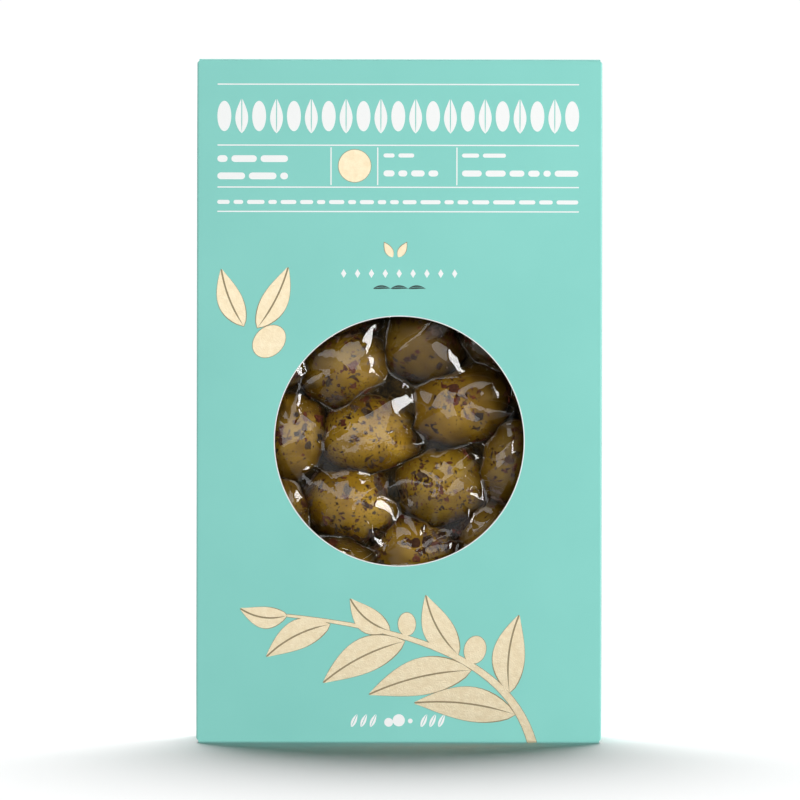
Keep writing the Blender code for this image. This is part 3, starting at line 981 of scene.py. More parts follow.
# Two lamps of its own give the film crisp reflections: a box at the upper left and a strip at
# the right. They light nothing else, and the lamps for the board don't show in the film.
FILM_BOX_PLACE = (-0.34, -1.15, 0.54)
FILM_BOX_SIZE = (1.6, 1.0)
FILM_BOX_RADIANCE = 3.0
FILM_STRIP_PLACE = (0.85, -0.52, 0.26)
FILM_STRIP_SIZE = (0.38, 0.70)
FILM_STRIP_RADIANCE = 19.0
on_film = bpy.data.collections.new("film_alone")
on_film.objects.link(film)
screened.objects.link(film)
for link in screened.collection_objects:
    link.light_linking.link_state = "EXCLUDE"
for lamp_item in (
    area_light("film_box", FILM_BOX_PLACE, FILM_BOX_SIZE, FILM_BOX_RADIANCE),
    area_light("film_strip", FILM_STRIP_PLACE, FILM_STRIP_SIZE, FILM_STRIP_RADIANCE),
):
    lamp_item.light_linking.receiver_collection = on_film


# The carton: one die-cut sheet of coated board, creased, folded into a tube and closed by a
# tucked lid at each end. The sheet is bent along its creases and then given its thickness.
CARTON_LOW, CARTON_HIGH = (Vector(corner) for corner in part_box("carton"))
HEIGHT = CARTON_HIGH.z
DEPTH = CARTON_HIGH.y - CARTON_LOW.y
SIDE_BOW = 0.0005
HALF_WIDTH = CARTON_HIGH.x - SIDE_BOW
SIDE_BOW_POWER = 20
BOARD = 0.00045
FOLD_RADIUS = 0.0006
FOLD_STEPS = 8
CLEARANCE = 0.0003
TUCK_LENGTH = 0.014
DUST_LENGTH = 0.016
DUST_TAPER = 0.003
LOWER_LEVELS = (0.0, 0.006, 0.012, 0.022, 0.045, 0.08, 0.14, 0.28)
SIDE_LINES = (-1.0, -0.80, -0.55, -0.30, 0.0, 0.30, 0.55, 0.78, 1.0)
WINDOW_SIDES = 160
SAME_PLACE = 1e-7
JOIN_WITHIN = 1e-6
PUNCH_DEPTH = 0.010
SHARPEST_SMOOTH = math.radians(30)
PULP_MOTTLE = 420.0
PULP_RELIEF = 0.00004
PRINT_GRAIN = (5200.0, 38.0)
PRINT_RELIEF = 0.000012
TURQUOISE = (0.228, 0.648, 0.572, 1)
PRINT_MOTTLE = ((0.25, (0.96, 0.975, 0.975, 1)), (0.75, (1.04, 1.02, 1.02, 1)))
WORN = (0.50, 0.80, 0.75, 1)
SCUFF_RANGE = (0.30, 0.75)
MOST_RUBBED = 0.55
# The print's fine grain from its low to its high end, and the roughness at each.
GLOSS_RANGES = (0.3, 0.7, 0.42, 0.52)
INSIDE_PULP = ((0.12, (0.50, 0.49, 0.46, 1)), (0.40, (0.66, 0.65, 0.61, 1)))
EDGE_PULP = ((0.12, (0.86, 0.88, 0.87, 1)), (0.40, (0.95, 0.96, 0.95, 1)))


def on_side(x):
    """Whether a line of the tube's plan lies in a side panel."""
    return abs(abs(x) - HALF_WIDTH) < SAME_PLACE


def side_bow(share, across):
    """How far a side panel stands out, at a share of its height and across its depth."""
    return SIDE_BOW * (1 - abs(2 * share - 1) ** SIDE_BOW_POWER) * (1 - across * across)


def quarter_arc():
    """Sine, cosine and wear of the steps of a fold after its first line."""
    steps = []
    for step in range(1, FOLD_STEPS + 1):
        turn = math.pi / 2 * step / FOLD_STEPS
        steps.append((math.sin(turn), math.cos(turn), math.sin(2 * turn)))
    return steps


def tube_columns():
    """The right half of the tube's plan: place, place across the side, low end, and wear."""
    flat = HALF_WIDTH - FOLD_RADIUS
    bend = DEPTH / 2 - FOLD_RADIUS
    front_end = FOLD_RADIUS
    side_end = FOLD_RADIUS + BOARD + CLEARANCE
    right = [(flat, -DEPTH / 2, 0.0, front_end, 0.0)]
    for step, (rise, run, wear) in enumerate(quarter_arc()[:-1], start=1):
        end = front_end + (side_end - front_end) * step / FOLD_STEPS
        right.append((flat + FOLD_RADIUS * rise, -bend - FOLD_RADIUS * run, 0.0, end, wear))
    for across in SIDE_LINES:
        right.append((HALF_WIDTH, across * bend, across, side_end, 0.0))
    for step, (rise, run, wear) in enumerate(quarter_arc()[:-1], start=1):
        end = side_end + (CLEARANCE - side_end) * step / FOLD_STEPS
        right.append((flat + FOLD_RADIUS * run, bend + FOLD_RADIUS * rise, 0.0, end, wear))
    right.append((flat, DEPTH / 2, 0.0, CLEARANCE, 0.0))
    return right


def tube_points(column):
    """One column of the tube as (point, wear), from its low end to its high end."""
    x, y, across, end, wear = column
    points = []
    for share in list(LOWER_LEVELS) + [0.5] + [1 - level for level in reversed(LOWER_LEVELS)]:
        out = side_bow(share, across) if on_side(x) else 0.0
        place = Vector((x + math.copysign(out, x), y, end + (HEIGHT - 2 * end) * share))
        points.append((place, wear))
    return points


def lid_points(x, top):
    """A lid's edge from the front panel over the end and down its tuck flap."""
    tuck = DEPTH / 2 - BOARD - CLEARANCE
    corner = HEIGHT - FOLD_RADIUS
    points = [(Vector((x, -DEPTH / 2, corner)), 0.0)]
    for rise, run, wear in quarter_arc():
        y = -DEPTH / 2 + FOLD_RADIUS - FOLD_RADIUS * run
        points.append((Vector((x, y, corner + FOLD_RADIUS * rise)), wear))
    points.append((Vector((x, tuck - FOLD_RADIUS, HEIGHT)), 0.0))
    for rise, run, wear in quarter_arc():
        y = tuck - FOLD_RADIUS + FOLD_RADIUS * rise
        points.append((Vector((x, y, corner + FOLD_RADIUS * run)), wear))
    points.append((Vector((x, tuck, HEIGHT - TUCK_LENGTH)), 0.0))
    return points if top else upside_down(points)


def dust_points(x, y, top):
    """A dust flap's line from the top of a side panel over its fold and inwards."""
    way = math.copysign(1, x)
    start = HEIGHT - FOLD_RADIUS - BOARD - CLEARANCE
    points = [(Vector((x, y, start)), 0.0)]
    for rise, run, wear in quarter_arc():
        reach = abs(x) - FOLD_RADIUS + FOLD_RADIUS * run
        points.append((Vector((way * reach, y, start + FOLD_RADIUS * rise)), wear))
    inner = way * (abs(x) - FOLD_RADIUS - DUST_LENGTH)
    shrunk = y * (1 - DUST_TAPER / (DEPTH / 2))
    points.append((Vector((inner, shrunk, start + FOLD_RADIUS)), 0.0))
    return points if top else upside_down(points)


def upside_down(points):
    """The same line at the pack's other end."""
    return [(Vector((place.x, place.y, HEIGHT - place.z)), wear) for place, wear in points]


def add_strip(bm, columns, flip=False):
    """Quads between neighbouring columns of points, with each point's wear."""
    layer = bm.verts.layers.float["wear"]
    rows = []
    for column in columns:
        row = []
        for place, wear in column:
            vert = bm.verts.new(place)
            vert[layer] = wear
            row.append(vert)
        rows.append(row)
    for near, far in zip(rows, rows[1:]):
        for low in range(len(near) - 1):
            corners = [near[low], far[low], far[low + 1], near[low + 1]]
            bm.faces.new(list(reversed(corners)) if flip else corners)


def printed_board():
    """The outer face: an even turquoise print on smooth coated board, satin, paler on its folds."""
    material, tree, shader = new_material("printed_board", Roughness=0.46)
    grain = add_grain(tree, *PRINT_GRAIN)
    stops = []
    for place, shares in PRINT_MOTTLE:
        stops.append((place, [part * share for part, share in zip(TURQUOISE, shares)]))
    tint = ramp(tree, grain["Coarse"], stops)
    wear = add_node(tree, "ShaderNodeAttribute", attribute_name="wear").outputs["Fac"]
    scuffs = sums(tree, "MULTIPLY", wear, grain["Fine"])
    rubbed = ranged(tree, scuffs, *SCUFF_RANGE, 0.0, MOST_RUBBED)
    worn = add_node(tree, "ShaderNodeMix", {0: rubbed, 6: tint, 7: WORN}, data_type="RGBA")
    tree.links.new(worn.outputs[2], shader.inputs["Base Color"])
    gloss = ranged(tree, grain["Fine"], *GLOSS_RANGES)
    tree.links.new(gloss, shader.inputs["Roughness"])
    bump(tree, shader, grain["Fine"], PRINT_RELIEF)
    return material


def bare_board(name, pulp, fine):
    """Unprinted board: pale grey pulp with its fibres."""
    scales = (fine, PULP_MOTTLE)
    return grained(name, scales, "Both", pulp, "Fine", PULP_RELIEF, Roughness=0.85)


INSIDE, CUT_EDGE = 1, 2
board_finishes = (
    printed_board(),
    bare_board("board_inside", INSIDE_PULP, 3000.0),
    bare_board("board_cut_edge", EDGE_PULP, 6000.0),
)


def board_mesh(name, bm):
    """A mesh with the board's finishes from a work mesh, which is freed."""
    mesh = bpy.data.meshes.new(name)
    bm.to_mesh(mesh)
    bm.free()
    for finish in board_finishes:
        mesh.materials.append(finish)
    return mesh


def window_punch():
    """The round die that cuts the window, with the cut edge's finish on its wall."""
    bm = bmesh.new()
    bmesh.ops.create_cone(
        bm,
        cap_ends=True,
        segments=WINDOW_SIDES,
        radius1=WINDOW_RADIUS,
        radius2=WINDOW_RADIUS,
        depth=PUNCH_DEPTH,
    )
    for face in bm.faces:
        face.material_index = CUT_EDGE
    punch = in_scene("window_punch", board_mesh("window_punch", bm))
    punch.rotation_euler = (math.pi / 2, 0, 0)
    punch.location = (0, -DEPTH / 2, WINDOW_HEIGHT)
    return punch


def folded_carton():
    """The sheet folded up, given the board's thickness inwards, with its window punched out."""
    bm = bmesh.new()
    bm.verts.layers.float.new("wear")
    right = tube_columns()
    left = [(-x, y, across, end, wear) for x, y, across, end, wear in reversed(right)]
    ring = right + left
    add_strip(bm, [tube_points(column) for column in ring + ring[:1]])
    flat = HALF_WIDTH - FOLD_RADIUS
    for top in (True, False):
        add_strip(bm, [lid_points(x, top) for x in (-flat, flat)], flip=not top)
        for half in (right, left):
            middle = [column for column in half if on_side(column[0])][1:-1]
            add_strip(bm, [dust_points(*column[:2], top) for column in middle], flip=not top)
    bmesh.ops.remove_doubles(bm, verts=bm.verts, dist=JOIN_WITHIN)
    sheet = in_scene("carton_board", board_mesh("carton_board", bm))
    board = sheet.modifiers.new("board", "SOLIDIFY")
    board.thickness = BOARD
    board.offset = -1
    board.use_even_offset = True
    board.material_offset = INSIDE
    board.material_offset_rim = CUT_EDGE
    punch = window_punch()
    cut = sheet.modifiers.new("window", "BOOLEAN")
    cut.operation = "DIFFERENCE"
    cut.solver = "EXACT"
    cut.object = punch
    depsgraph = bpy.context.evaluated_depsgraph_get()
    folded = bpy.data.meshes.new_from_object(
        sheet.evaluated_get(depsgraph), preserve_all_data_layers=True, depsgraph=depsgraph
    )
    sheet.modifiers.clear()
    sheet.data = folded
    folded.name = "carton_board"
    folded.shade_smooth()
    folded.set_sharp_from_angle(angle=SHARPEST_SMOOTH)
    bpy.data.objects.remove(punch)
    return sheet


carton = folded_carton()
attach(carton, "root")
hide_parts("carton")


# The cut edge of the window: the die crushes the print there and bares the white pulp of the
# board. It is a thin ring on the edge, a hair proud of the face.
EDGE_WIDTH = 0.00030
EDGE_LIFT = 0.00002


def cut_edge():
    """A closed ring with a flat front, laid on the window's edge."""
    section = (
        (WINDOW_RADIUS, -EDGE_LIFT),
        (WINDOW_RADIUS + EDGE_WIDTH, -EDGE_LIFT),
        (WINDOW_RADIUS + EDGE_WIDTH, BOARD / 4),
        (WINDOW_RADIUS, BOARD / 4),
    )
    points, faces = [], []
    for side in range(WINDOW_SIDES):
        turn = 2 * math.pi * side / WINDOW_SIDES
        for radius, depth in section:
            place = (radius * math.cos(turn), -DEPTH / 2 + depth)
            points.append((*place, WINDOW_HEIGHT + radius * math.sin(turn)))
        for corner in range(4):
            following = (side + 1) % WINDOW_SIDES * 4
            after = (corner + 1) % 4
            faces.append((side * 4 + corner, side * 4 + after, following + after, following + corner))
    return mesh_object("cut_edge", points, faces, board_finishes[CUT_EDGE])


cut_edge()


# The print on the front: white rules, a frieze of olives and leaves, short bars in the places of
# the small print, and a dark flourish. Each mark is a film of ink a hair proud of the board.
INK_LIFT = 0.00003
INK_ROOT = 0.00002
LEAST_LEAF = 1e-6
# How far a leaf's widest place lies towards its foot, and how full a leaf of the rim is.
LEAF_LEAN, RIM_LEAF_LEAN = 0.85, 0.82
RIM_LEAF_ROUND = 0.9
BAR_STEPS = 4
# In pitches of the frieze, the half width of an olive, the width of a leaf and its parting; and
# the half height of an olive in heights of the frieze.
FRIEZE_OLIVE_WIDTH = 0.20
FRIEZE_OLIVE_HEIGHT = 0.44
FRIEZE_LEAF_WIDTH = 0.34
FRIEZE_PARTING = 0.03
INK_WHITE = (0.93, 0.945, 0.935, 1)
INK_DARK = (0.018, 0.050, 0.046, 1)
INK_ROUGHNESS = 0.5
INK_GRAIN = (5200.0, 300.0)
THIN_INK = 0.95


def front_place(u, v, lift):
    """A place on the front panel, v up from the base, that follows the bottom fold below it."""
    if v >= FOLD_RADIUS:
        return Vector((u, -DEPTH / 2 - lift, v))
    turn = min((FOLD_RADIUS - v) / FOLD_RADIUS, math.pi / 2)
    reach = FOLD_RADIUS + lift
    y = -DEPTH / 2 + FOLD_RADIUS - reach * math.cos(turn)
    return Vector((u, y, FOLD_RADIUS - reach * math.sin(turn)))


def back_place(u, v, lift):
    return Vector((-u, DEPTH / 2 + lift, v))


def right_place(u, v, lift):
    """A place on the right side panel, u across it from the front."""
    across = u / (DEPTH / 2 - FOLD_RADIUS)
    return Vector((HALF_WIDTH + side_bow(v / HEIGHT, across) + lift, u, v))


def left_place(u, v, lift):
    opposite = right_place(-u, v, lift)
    return Vector((-opposite.x, opposite.y, opposite.z))


def top_place(u, v, lift):
    """A place on the lid, v back from its front fold."""
    return Vector((u, -DEPTH / 2 + v, HEIGHT + lift))


def set_at(foot, along, across, heading):
    """A place on the board, along and across a heading from a foot."""
    (u, v), ahead, aside = foot, math.cos(heading), math.sin(heading)
    return u + along * ahead - across * aside, v + along * aside + across * ahead


def oval(u, v, half_long, half_wide, tilt=0.0, sides=28):
    turns = [2 * math.pi * side / sides for side in range(sides)]
    rim = [(half_long * math.cos(turn), half_wide * math.sin(turn)) for turn in turns]
    return [set_at((u, v), along, across, tilt) for along, across in rim]


def bar(left, low, right, high):
    """A bar with round ends."""
    radius = min(high - low, right - left) / 2
    points = []
    for u, v, start in (
        (right - radius, high - radius, 0),
        (left + radius, high - radius, 1),
        (left + radius, low + radius, 2),
        (right - radius, low + radius, 3),
    ):
        for step in range(BAR_STEPS + 1):
            turn = math.pi / 2 * (start + step / BAR_STEPS)
            points.append((u + radius * math.cos(turn), v + radius * math.sin(turn)))
    return points


def leaf(u, v, length, width, heading, bow=0.0, steps=14):
    """A slim pointed leaf from its foot, heading at an angle, its midrib bowed to one side."""
    sides = ([], [])
    for step in range(steps + 1):
        share = step / steps
        swell = math.sin(math.pi * share**RIM_LEAF_LEAN) ** RIM_LEAF_ROUND
        half = width / 2 * swell if 0 < step < steps else 0.0
        rib = bow * 4 * share * (1 - share)
        for side, way in zip(sides, (1, -1)):
            side.append(set_at((u, v), length * share, rib + way * half, heading))
    return sides[1] + sides[0][-2:0:-1]


def leaf_halves(u, v, length, width, heading, bow=0.0, gap=0.0, steps=14):
    """The two halves of a leaf, apart by the gap of its midrib and pointed at both ends."""
    halves = []
    for way in (1, -1):
        rib, rim = [], []
        for step in range(steps + 1):
            share = step / steps
            swell = max(math.sin(math.pi * share**LEAF_LEAN), 0.0)
            middle = bow * 4 * share * (1 - share)
            bare = middle + way * gap / 2 * min(1, 4 * share)
            edge = middle + way * (gap / 2 + width / 2 * swell + LEAST_LEAF)
            rib.append(set_at((u, v), length * share, bare, heading))
            rim.append(set_at((u, v), length * share, edge, heading))
        halves.append(rib + rim[-2:0:-1])
    return halves


def raise_marks(name, outlines, place, lift, material, cuts=()):
    """Flat marks from their outlines, cut where the board bends and raised from its face."""
    flat = bmesh.new()
    for outline in outlines:
        flat.faces.new([flat.verts.new((u, v, 0)) for u, v in outline])
    bmesh.ops.recalc_face_normals(flat, faces=flat.faces)
    for point, way in cuts:
        whole = flat.verts[:] + flat.edges[:] + flat.faces[:]
        bmesh.ops.bisect_plane(flat, geom=whole, plane_co=point, plane_no=way, dist=SAME_PLACE)
    solid = bmesh.new()
    pairs = {}
    for vert in flat.verts:
        u, v, _ = vert.co
        outer, root = (solid.verts.new(place(u, v, out)) for out in (lift, -INK_ROOT))
        pairs[vert] = (outer, root)
    for face in flat.faces:
        solid.faces.new([pairs[vert][0] for vert in face.verts])
        solid.faces.new([pairs[vert][1] for vert in reversed(face.verts)])
    for edge in flat.edges:
        if len(edge.link_faces) == 1:
            loop = edge.link_faces[0].loops[0]
            while loop.edge != edge:
                loop = loop.link_loop_next
            first, second = loop.vert, loop.link_loop_next.vert
            (near, near_root), (far, far_root) = pairs[first], pairs[second]
            solid.faces.new((far, near, near_root, far_root))
    bmesh.ops.recalc_face_normals(solid, faces=solid.faces)
    bmesh.ops.triangulate(solid, faces=[face for face in solid.faces if len(face.verts) > 4])
    mesh = bpy.data.meshes.new(name)
    solid.to_mesh(mesh)
    flat.free()
    solid.free()
    mesh.materials.append(material)
    item = in_scene(name, mesh)
    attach(item, "root")


def ink(name, colour, roughness):
    """Ink: even and slightly satin, with the board's grain showing through it."""
    thin = tuple(THIN_INK * part for part in colour[:3]) + (1,)
    cover = [(0.30, thin), (0.60, colour)]
    return grained(name, INK_GRAIN, "Fine", cover, "Fine", PRINT_RELIEF, Roughness=roughness)


RULE_LEFT, RULE_RIGHT = -0.0539, 0.0530
RULE_WIDTH = 0.00036
RULE_HEIGHTS = (0.1945, 0.1765, 0.1641, 0.1569)
COLUMN_PLACES = (-0.0203, -0.0065, 0.0169)
TITLE_LOW, TITLE_HIGH = 0.1800, 0.1902
TITLE_UNITS = 11
RULE_CLEARANCE = 0.0006
# Lines of small print: left, foot, right and height of the bars, seed, and their longest length.
SMALL_PRINT = (
    (RULE_LEFT, 0.17150, -0.0330, 0.0020, 1, 0.0085),
    (RULE_LEFT, 0.16640, -0.0330, 0.0020, 2, 0.0085),
    (-0.0048, 0.17290, 0.0072, 0.0012, 3, 0.0068),
    (-0.0048, 0.16730, 0.0146, 0.0018, 4, 0.0068),
    (0.0184, 0.17290, 0.0314, 0.0012, 5, 0.0068),
    (0.0184, 0.16730, 0.0528, 0.0018, 6, 0.0068),
    (RULE_LEFT, 0.15910, 0.0528, 0.0012, 7, 0.0068),
)
# A row of small lozenges between the heading and the window.
LOZENGES = 9
LOZENGE_LEFT, LOZENGE_PITCH, LOZENGE_HEIGHT = -0.0165, 0.0041, 0.1386
LOZENGE_HALVES = (0.0013, 0.0008)
# Near the foot of the panel: places of the leaves, and place, height and radius of the dots.
FOOT_LEAVES = (-0.0140, -0.0112, -0.0084, 0.0066, 0.0092, 0.0118)
FOOT_LEAF_LOW = 0.0046
FOOT_LEAF_SIZE = (0.0042, 0.0013, math.radians(66))
FOOT_DOTS = ((-0.0030, 0.0060, 0.0013), (0.0000, 0.0066, 0.0018), (0.0034, 0.0064, 0.0007))
FLOURISH_LEAVES = (-0.0078, -0.0026, 0.0026)
FLOURISH_HEIGHT = 0.1341
FLOURISH_SIZE = (0.0052, 0.0010, 0.0)


def rule(height):
    """A long rule across the panel."""
    return bar(RULE_LEFT, height - RULE_WIDTH / 2, RULE_RIGHT, height + RULE_WIDTH / 2)


def upright_rule(place):
    """A short rule between two of the long ones."""
    low, high = RULE_HEIGHTS[2] + RULE_CLEARANCE, RULE_HEIGHTS[1] - RULE_CLEARANCE
    return bar(place - RULE_WIDTH / 2, low, place + RULE_WIDTH / 2, high)


def frieze(low, high, left, right, units):
    """A band of upright olives, flush at both ends, with a tall leaf between neighbours."""
    marks = []
    pitch = (right - left) / (units - 1 + 2 * FRIEZE_OLIVE_WIDTH)
    middle, tall = (low + high) / 2, high - low
    olive_size = (tall * FRIEZE_OLIVE_HEIGHT, pitch * FRIEZE_OLIVE_WIDTH)
    leaf_size = (tall, pitch * FRIEZE_LEAF_WIDTH)
    for unit in range(units):
        u = left + pitch * (unit + FRIEZE_OLIVE_WIDTH)
        marks.append(oval(u, middle, *olive_size, math.pi / 2))
        if unit:
            parting = pitch * FRIEZE_PARTING
            marks += leaf_halves(u - pitch / 2, low, *leaf_size, math.pi / 2, gap=parting)
    return marks


def words(left, low, right, tall, seed, gap=0.0011, shortest=0.0022, longest=0.0068):
    """A line of short bars in the place of small print."""
    draw = random.Random(seed)
    marks = []
    u = left
    while u < right - shortest:
        end = min(u + draw.uniform(shortest, longest), right)
        if right - end < shortest:
            end = right
        marks.append(bar(u, low, end, low + tall))
        u = end + gap
    return marks


white_ink = ink("white_ink", INK_WHITE, INK_ROUGHNESS)
heading = [rule(height) for height in RULE_HEIGHTS]
heading += [upright_rule(place) for place in COLUMN_PLACES]
heading += frieze(TITLE_LOW, TITLE_HIGH, RULE_LEFT, RULE_RIGHT, TITLE_UNITS)
for *line, longest in SMALL_PRINT:
    heading += words(*line, longest=longest)
for lozenge in range(LOZENGES):
    place = LOZENGE_LEFT + LOZENGE_PITCH * lozenge
    heading.append(oval(place, LOZENGE_HEIGHT, *LOZENGE_HALVES, math.pi / 2, sides=4))
raise_marks("heading_print", heading, front_place, INK_LIFT, white_ink)

foot = []
for place in FOOT_LEAVES:
    foot += leaf_halves(place, FOOT_LEAF_LOW, *FOOT_LEAF_SIZE, gap=0.0002)
foot += [oval(place, height, radius, radius) for place, height, radius in FOOT_DOTS]
raise_marks("foot_print", foot, front_place, INK_LIFT, white_ink)

dark_ink = ink("dark_ink", INK_DARK, INK_ROUGHNESS)
flourish = []
for place in FLOURISH_LEAVES:
    flourish += leaf_halves(place, FLOURISH_HEIGHT, *FLOURISH_SIZE, bow=0.0005, gap=0.0001)
raise_marks("flourish", flourish, front_place, INK_LIFT, dark_ink)


# The print on the back, the sides and the lid, which the photograph doesn't show: the same
# rules and frieze over lines of small print, a plain table and a striped field, and leaves.
BACK_LINES = 9
BACK_PITCH = 0.0046
# Two blocks of small print: the height of the first line, and the seed.
BACK_BLOCKS = ((0.1440, 50), (0.0900, 70))
LINE_END, SHORT_LINE_END = -0.006, -0.020
LINE_HEIGHT = 0.0013
TABLE_ROWS = 7
TABLE_LEFT, TABLE_RIGHT, TABLE_TOP, TABLE_PITCH = 0.0040, 0.0530, 0.1224, 0.0066
TABLE_INDENT = 0.001
TABLE_NAMES_END, TABLE_FIGURES = 0.0280, 0.0420
TABLE_LINE_FOOT = 0.0026
FIELD_LEFT, FIELD_LOW, FIELD_RIGHT, FIELD_HIGH = 0.0080, 0.0150, 0.0490, 0.0420
FIELD_MARGIN = 0.004
STRIPE_WIDTHS = (0.00035, 0.00035, 0.0007, 0.00105)
STRIPE_GAPS = (0.00035, 0.0007, 0.00105)
STRIPE_SEED = 31
SIDE_LEAVES = 13
SIDE_LEAF_LOW = 0.024
SIDE_LEAF_PITCH = 0.0125
SIDE_LEAF_SIZE = (0.0092, 0.0034)
SIDE_LEAF_TURN = 0.75
SIDE_LEAF_OUT = 0.0004
LID_UNITS = 7
LID_FRIEZE = (0.0100, 0.0190, -0.0300, 0.0300)


def back_marks():
    """Rules and frieze as on the front, two blocks of small print, and a table."""
    marks = [rule(height) for height in RULE_HEIGHTS]
    marks += frieze(TITLE_LOW, TITLE_HIGH, RULE_LEFT, RULE_RIGHT, TITLE_UNITS)
    marks += words(RULE_LEFT, 0.1692, 0.0528, 0.0022, 41, shortest=0.004, longest=0.011)
    marks += words(RULE_LEFT, 0.1593, 0.0528, 0.0014, 42)
    for line in range(BACK_LINES):
        end = LINE_END if (line + 1) % 3 else SHORT_LINE_END
        for top, seed in BACK_BLOCKS:
            marks += words(RULE_LEFT, top - BACK_PITCH * line, end, LINE_HEIGHT, seed + line)
    marks += words(TABLE_LEFT, 0.1290, 0.0400, 0.0020, 43, shortest=0.004, longest=0.010)
    for row in range(TABLE_ROWS + 1):
        y = TABLE_TOP - TABLE_PITCH * row
        marks.append(bar(TABLE_LEFT, y, TABLE_RIGHT, y + RULE_WIDTH))
        if row:
            foot = y + TABLE_LINE_FOOT
            start, end = TABLE_LEFT + TABLE_INDENT, TABLE_RIGHT - TABLE_INDENT
            marks += words(start, foot, TABLE_NAMES_END, LINE_HEIGHT, 90 + row)
            marks += words(TABLE_FIGURES, foot, end, LINE_HEIGHT, 110 + row)
    return marks


def block_of(left, low, right, high):
    return [(left, low), (right, low), (right, high), (left, high)]


def stripes(left, low, right, high):
    """Upright stripes of many widths."""
    draw = random.Random(STRIPE_SEED)
    marks = []
    u = left
    while u < right:
        width = draw.choice(STRIPE_WIDTHS)
        marks.append(block_of(u, low, u + width, high))
        u += width + draw.choice(STRIPE_GAPS)
    return marks


def side_marks():
    """Pairs of leaves up the middle of a side panel."""
    marks = []
    for step in range(SIDE_LEAVES):
        v = SIDE_LEAF_LOW + SIDE_LEAF_PITCH * step
        for way in (-1, 1):
            heading = math.pi / 2 - way * SIDE_LEAF_TURN
            marks += leaf_halves(way * SIDE_LEAF_OUT, v, *SIDE_LEAF_SIZE, heading, gap=0.0003)
    return marks


field = block_of(FIELD_LEFT, FIELD_LOW, FIELD_RIGHT, FIELD_HIGH)
field_stripes = stripes(
    FIELD_LEFT + FIELD_MARGIN,
    FIELD_LOW + FIELD_MARGIN,
    FIELD_RIGHT - FIELD_MARGIN,
    FIELD_HIGH - FIELD_MARGIN,
)
lid_marks = frieze(*LID_FRIEZE, LID_UNITS)
for name, marks, place, lift, finish in (
    ("back_print", back_marks(), back_place, INK_LIFT, white_ink),
    ("back_field", [field], back_place, INK_LIFT, white_ink),
    ("back_stripes", field_stripes, back_place, 2 * INK_LIFT, dark_ink),
    ("right_print", side_marks(), right_place, INK_LIFT, white_ink),
    ("left_print", side_marks(), left_place, INK_LIFT, white_ink),
    ("lid_print", lid_marks, top_place, INK_LIFT, white_ink),
):
    raise_marks(name, marks, place, lift, finish)


# The gold foil: hot stamped on the front panel and over the bottom fold, a branch with long
# leaves and olives. Round it lies a thin dark brown rim, painted shade of the groove where the die
# pressed it into the board.
FOIL_LIFT = 0.00006
FOIL_RIM_LIFT = 0.00004
FOIL_RIM = 0.00014
LIFT_STEP = 1e-6
FOIL_GRAIN = (2600.0, 700.0)
FOIL_RELIEF = 0.00016
FOIL_GOLD = (0.91, 0.79, 0.555, 1)
FOIL_DEEP = (0.83, 0.69, 0.45, 1)
RIM_SHADE_BROWN = (0.30, 0.24, 0.13, 1)
RIM_ROUGHNESS = 0.6
BRANCH_STEPS = 24
MIDRIB = 0.00050
BRANCH = ((0.0395, -0.0003), (0.0330, 0.0230), (0.0080, 0.0330), (-0.0330, 0.0375))
BRANCH_FOOT_WIDTH = 0.0026
BRANCH_TIP_WIDTH = 0.0007
LEAF_STALK = 0.0016
LEAF_BOW = 0.0016
OLIVE_LEAN = math.radians(72)
# Along the branch: share of its length, side, leaf length, leaf width, angle from the branch.
BRANCH_LEAVES = (
    (0.13, -1, 0.0300, 0.0096, 54),
    (0.22, 1, 0.0230, 0.0090, 46),
    (0.40, -1, 0.0310, 0.0104, 47),
    (0.47, 1, 0.0200, 0.0084, 33),
    (0.66, -1, 0.0270, 0.0096, 44),
    (0.71, 1, 0.0150, 0.0068, 24),
    (0.88, -1, 0.0210, 0.0080, 36),
    (1.00, 1, 0.0140, 0.0058, 2),
)
# Olives along the branch: share of its length, half length and half width.
BRANCH_OLIVES = ((0.425, 0.0041, 0.0032), (0.668, 0.0034, 0.0026))
# Of the sprig's leaves: place of the foot, length, width, heading, and bow of the midrib.
SPRIG = (
    (-0.0460, 0.1230, 0.0180, 0.0068, 1.95, 0.0010),
    (-0.0420, 0.1225, 0.0200, 0.0072, 1.10, -0.0010),
)
SPRIG_OLIVE = (-0.0385, 0.1185, 0.0054, 0.0042, 0.75)
SEAL = (-0.0133, 0.1704, 0.0048)
# Two small leaves over the row of lozenges: place of the foot and heading, and their size.
SMALL_LEAVES = ((-0.0004, 0.1434, 1.05), (-0.0020, 0.1434, 2.09))
SMALL_LEAF_SIZE = (0.0050, 0.0022)
FOLD_CUTS = [((0, FOLD_RADIUS * (1 - step / 4), 0), (0, 1, 0)) for step in range(7)]


def on_branch(share):
    """Place and heading on the branch's curve at a share of its length."""
    a, b, c, d = (Vector(point) for point in BRANCH)
    rest = 1 - share
    place = a * rest**3 + b * 3 * rest**2 * share + c * 3 * rest * share**2 + d * share**3
    way = (b - a) * rest**2 + (c - b) * 2 * rest * share + (d - c) * share**2
    return place, math.atan2(way.y, way.x)


def foil_leaf(foot, length, width, heading, bow, grow):
    """A leaf with its midrib left bare; with grow it is one leaf, larger all round."""
    start = Vector(foot) - Vector((math.cos(heading), math.sin(heading))) * grow * 1.5
    if grow:
        return [leaf(*start, length + 3 * grow, width + MIDRIB + 2 * grow, heading, bow)]
    return leaf_halves(*start, length, width, heading, bow, MIDRIB)


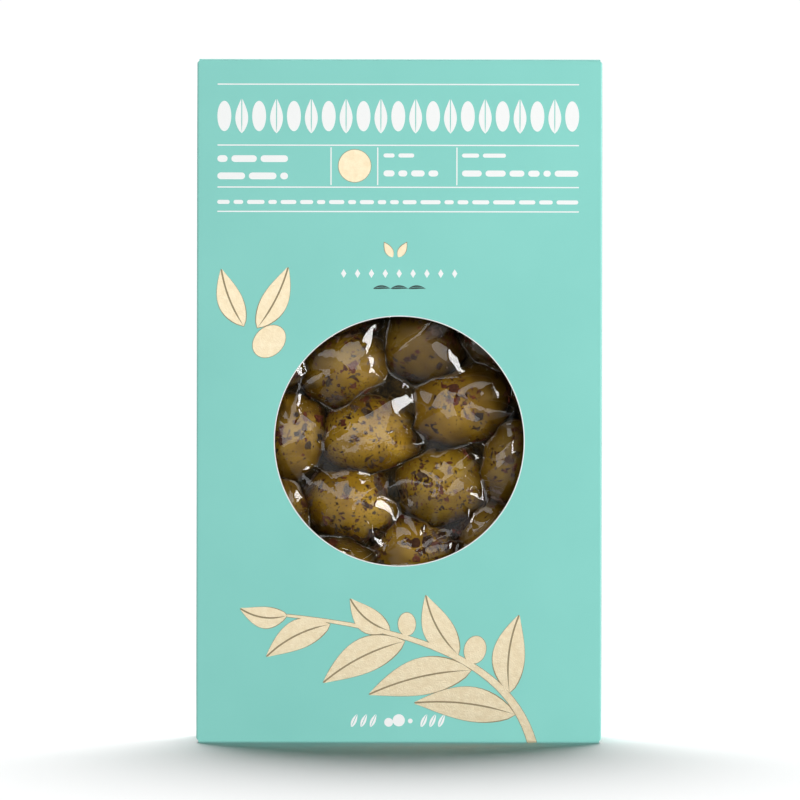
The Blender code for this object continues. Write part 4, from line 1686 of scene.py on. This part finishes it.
def branch_marks(grow):
    """The branch, its leaves and its olives, each made larger all round by grow."""
    left, right = [], []
    for step in range(BRANCH_STEPS + 1):
        share = step / BRANCH_STEPS
        place, heading = on_branch(share)
        width = BRANCH_FOOT_WIDTH + (BRANCH_TIP_WIDTH - BRANCH_FOOT_WIDTH) * share
        out = Vector((-math.sin(heading), math.cos(heading))) * (width / 2 + grow)
        left.append(tuple(place + out))
        right.append(tuple(place - out))
    groups = [[right + left[::-1]]]
    for share, side, length, width, angle in BRANCH_LEAVES:
        place, heading = on_branch(share)
        aim = heading - side * math.radians(angle)
        stalk = LEAF_STALK if share < 1 else 0.0
        foot = set_at(place, stalk, 0.0, aim)
        groups.append(foil_leaf(foot, length, width, aim, side * LEAF_BOW, grow))
    for share, long, wide in BRANCH_OLIVES:
        place, heading = on_branch(share)
        aim = heading - OLIVE_LEAN
        centre = set_at(place, long + BRANCH_TIP_WIDTH, 0.0, aim)
        groups.append([oval(*centre, long + grow, wide + grow, aim)])
    return groups


def sprig_marks(grow):
    """Two leaves and an olive above the window's left, and a small seal in the heading."""
    groups = [foil_leaf((u, v), *leaf_size, grow) for u, v, *leaf_size in SPRIG]
    u, v, long, wide, tilt = SPRIG_OLIVE
    groups.append([oval(u, v, long + grow, wide + grow, tilt)])
    u, v, radius = SEAL
    groups.append([oval(u, v, radius + grow, radius + grow)])
    length, width = (size + 2 * grow for size in SMALL_LEAF_SIZE)
    groups += [[leaf(u, v, length, width, heading)] for u, v, heading in SMALL_LEAVES]
    return groups


def gold_foil():
    """Pale gold leaf, bright, softened by the board's own grain and slow waves."""
    warm = [(0.30, FOIL_DEEP), (0.70, FOIL_GOLD)]
    sockets = dict(Metallic=0.5, Roughness=0.34)
    return grained("gold_foil", FOIL_GRAIN, "Coarse", warm, "Both", FOIL_RELIEF, **sockets)


foil = gold_foil()
# The foil's thin dark rim is painted shade, in the place of the groove the die pressed.
painted_rim_shade = ink("foil_rim_painted_shade", RIM_SHADE_BROWN, RIM_ROUGHNESS)
for name, shapes, cuts in (("branch", branch_marks, FOLD_CUTS), ("sprig", sprig_marks, ())):
    # Where one mark crosses another, each lies a hair above or below the last.
    for number, marks in enumerate(shapes(FOIL_RIM)):
        lift = FOIL_RIM_LIFT - number * LIFT_STEP
        raise_marks(f"{name}_rim_{number}", marks, front_place, lift, painted_rim_shade, cuts)
    for number, marks in enumerate(shapes(0)):
        lift = FOIL_LIFT + number * LIFT_STEP
        raise_marks(f"{name}_foil_{number}", marks, front_place, lift, foil, cuts)
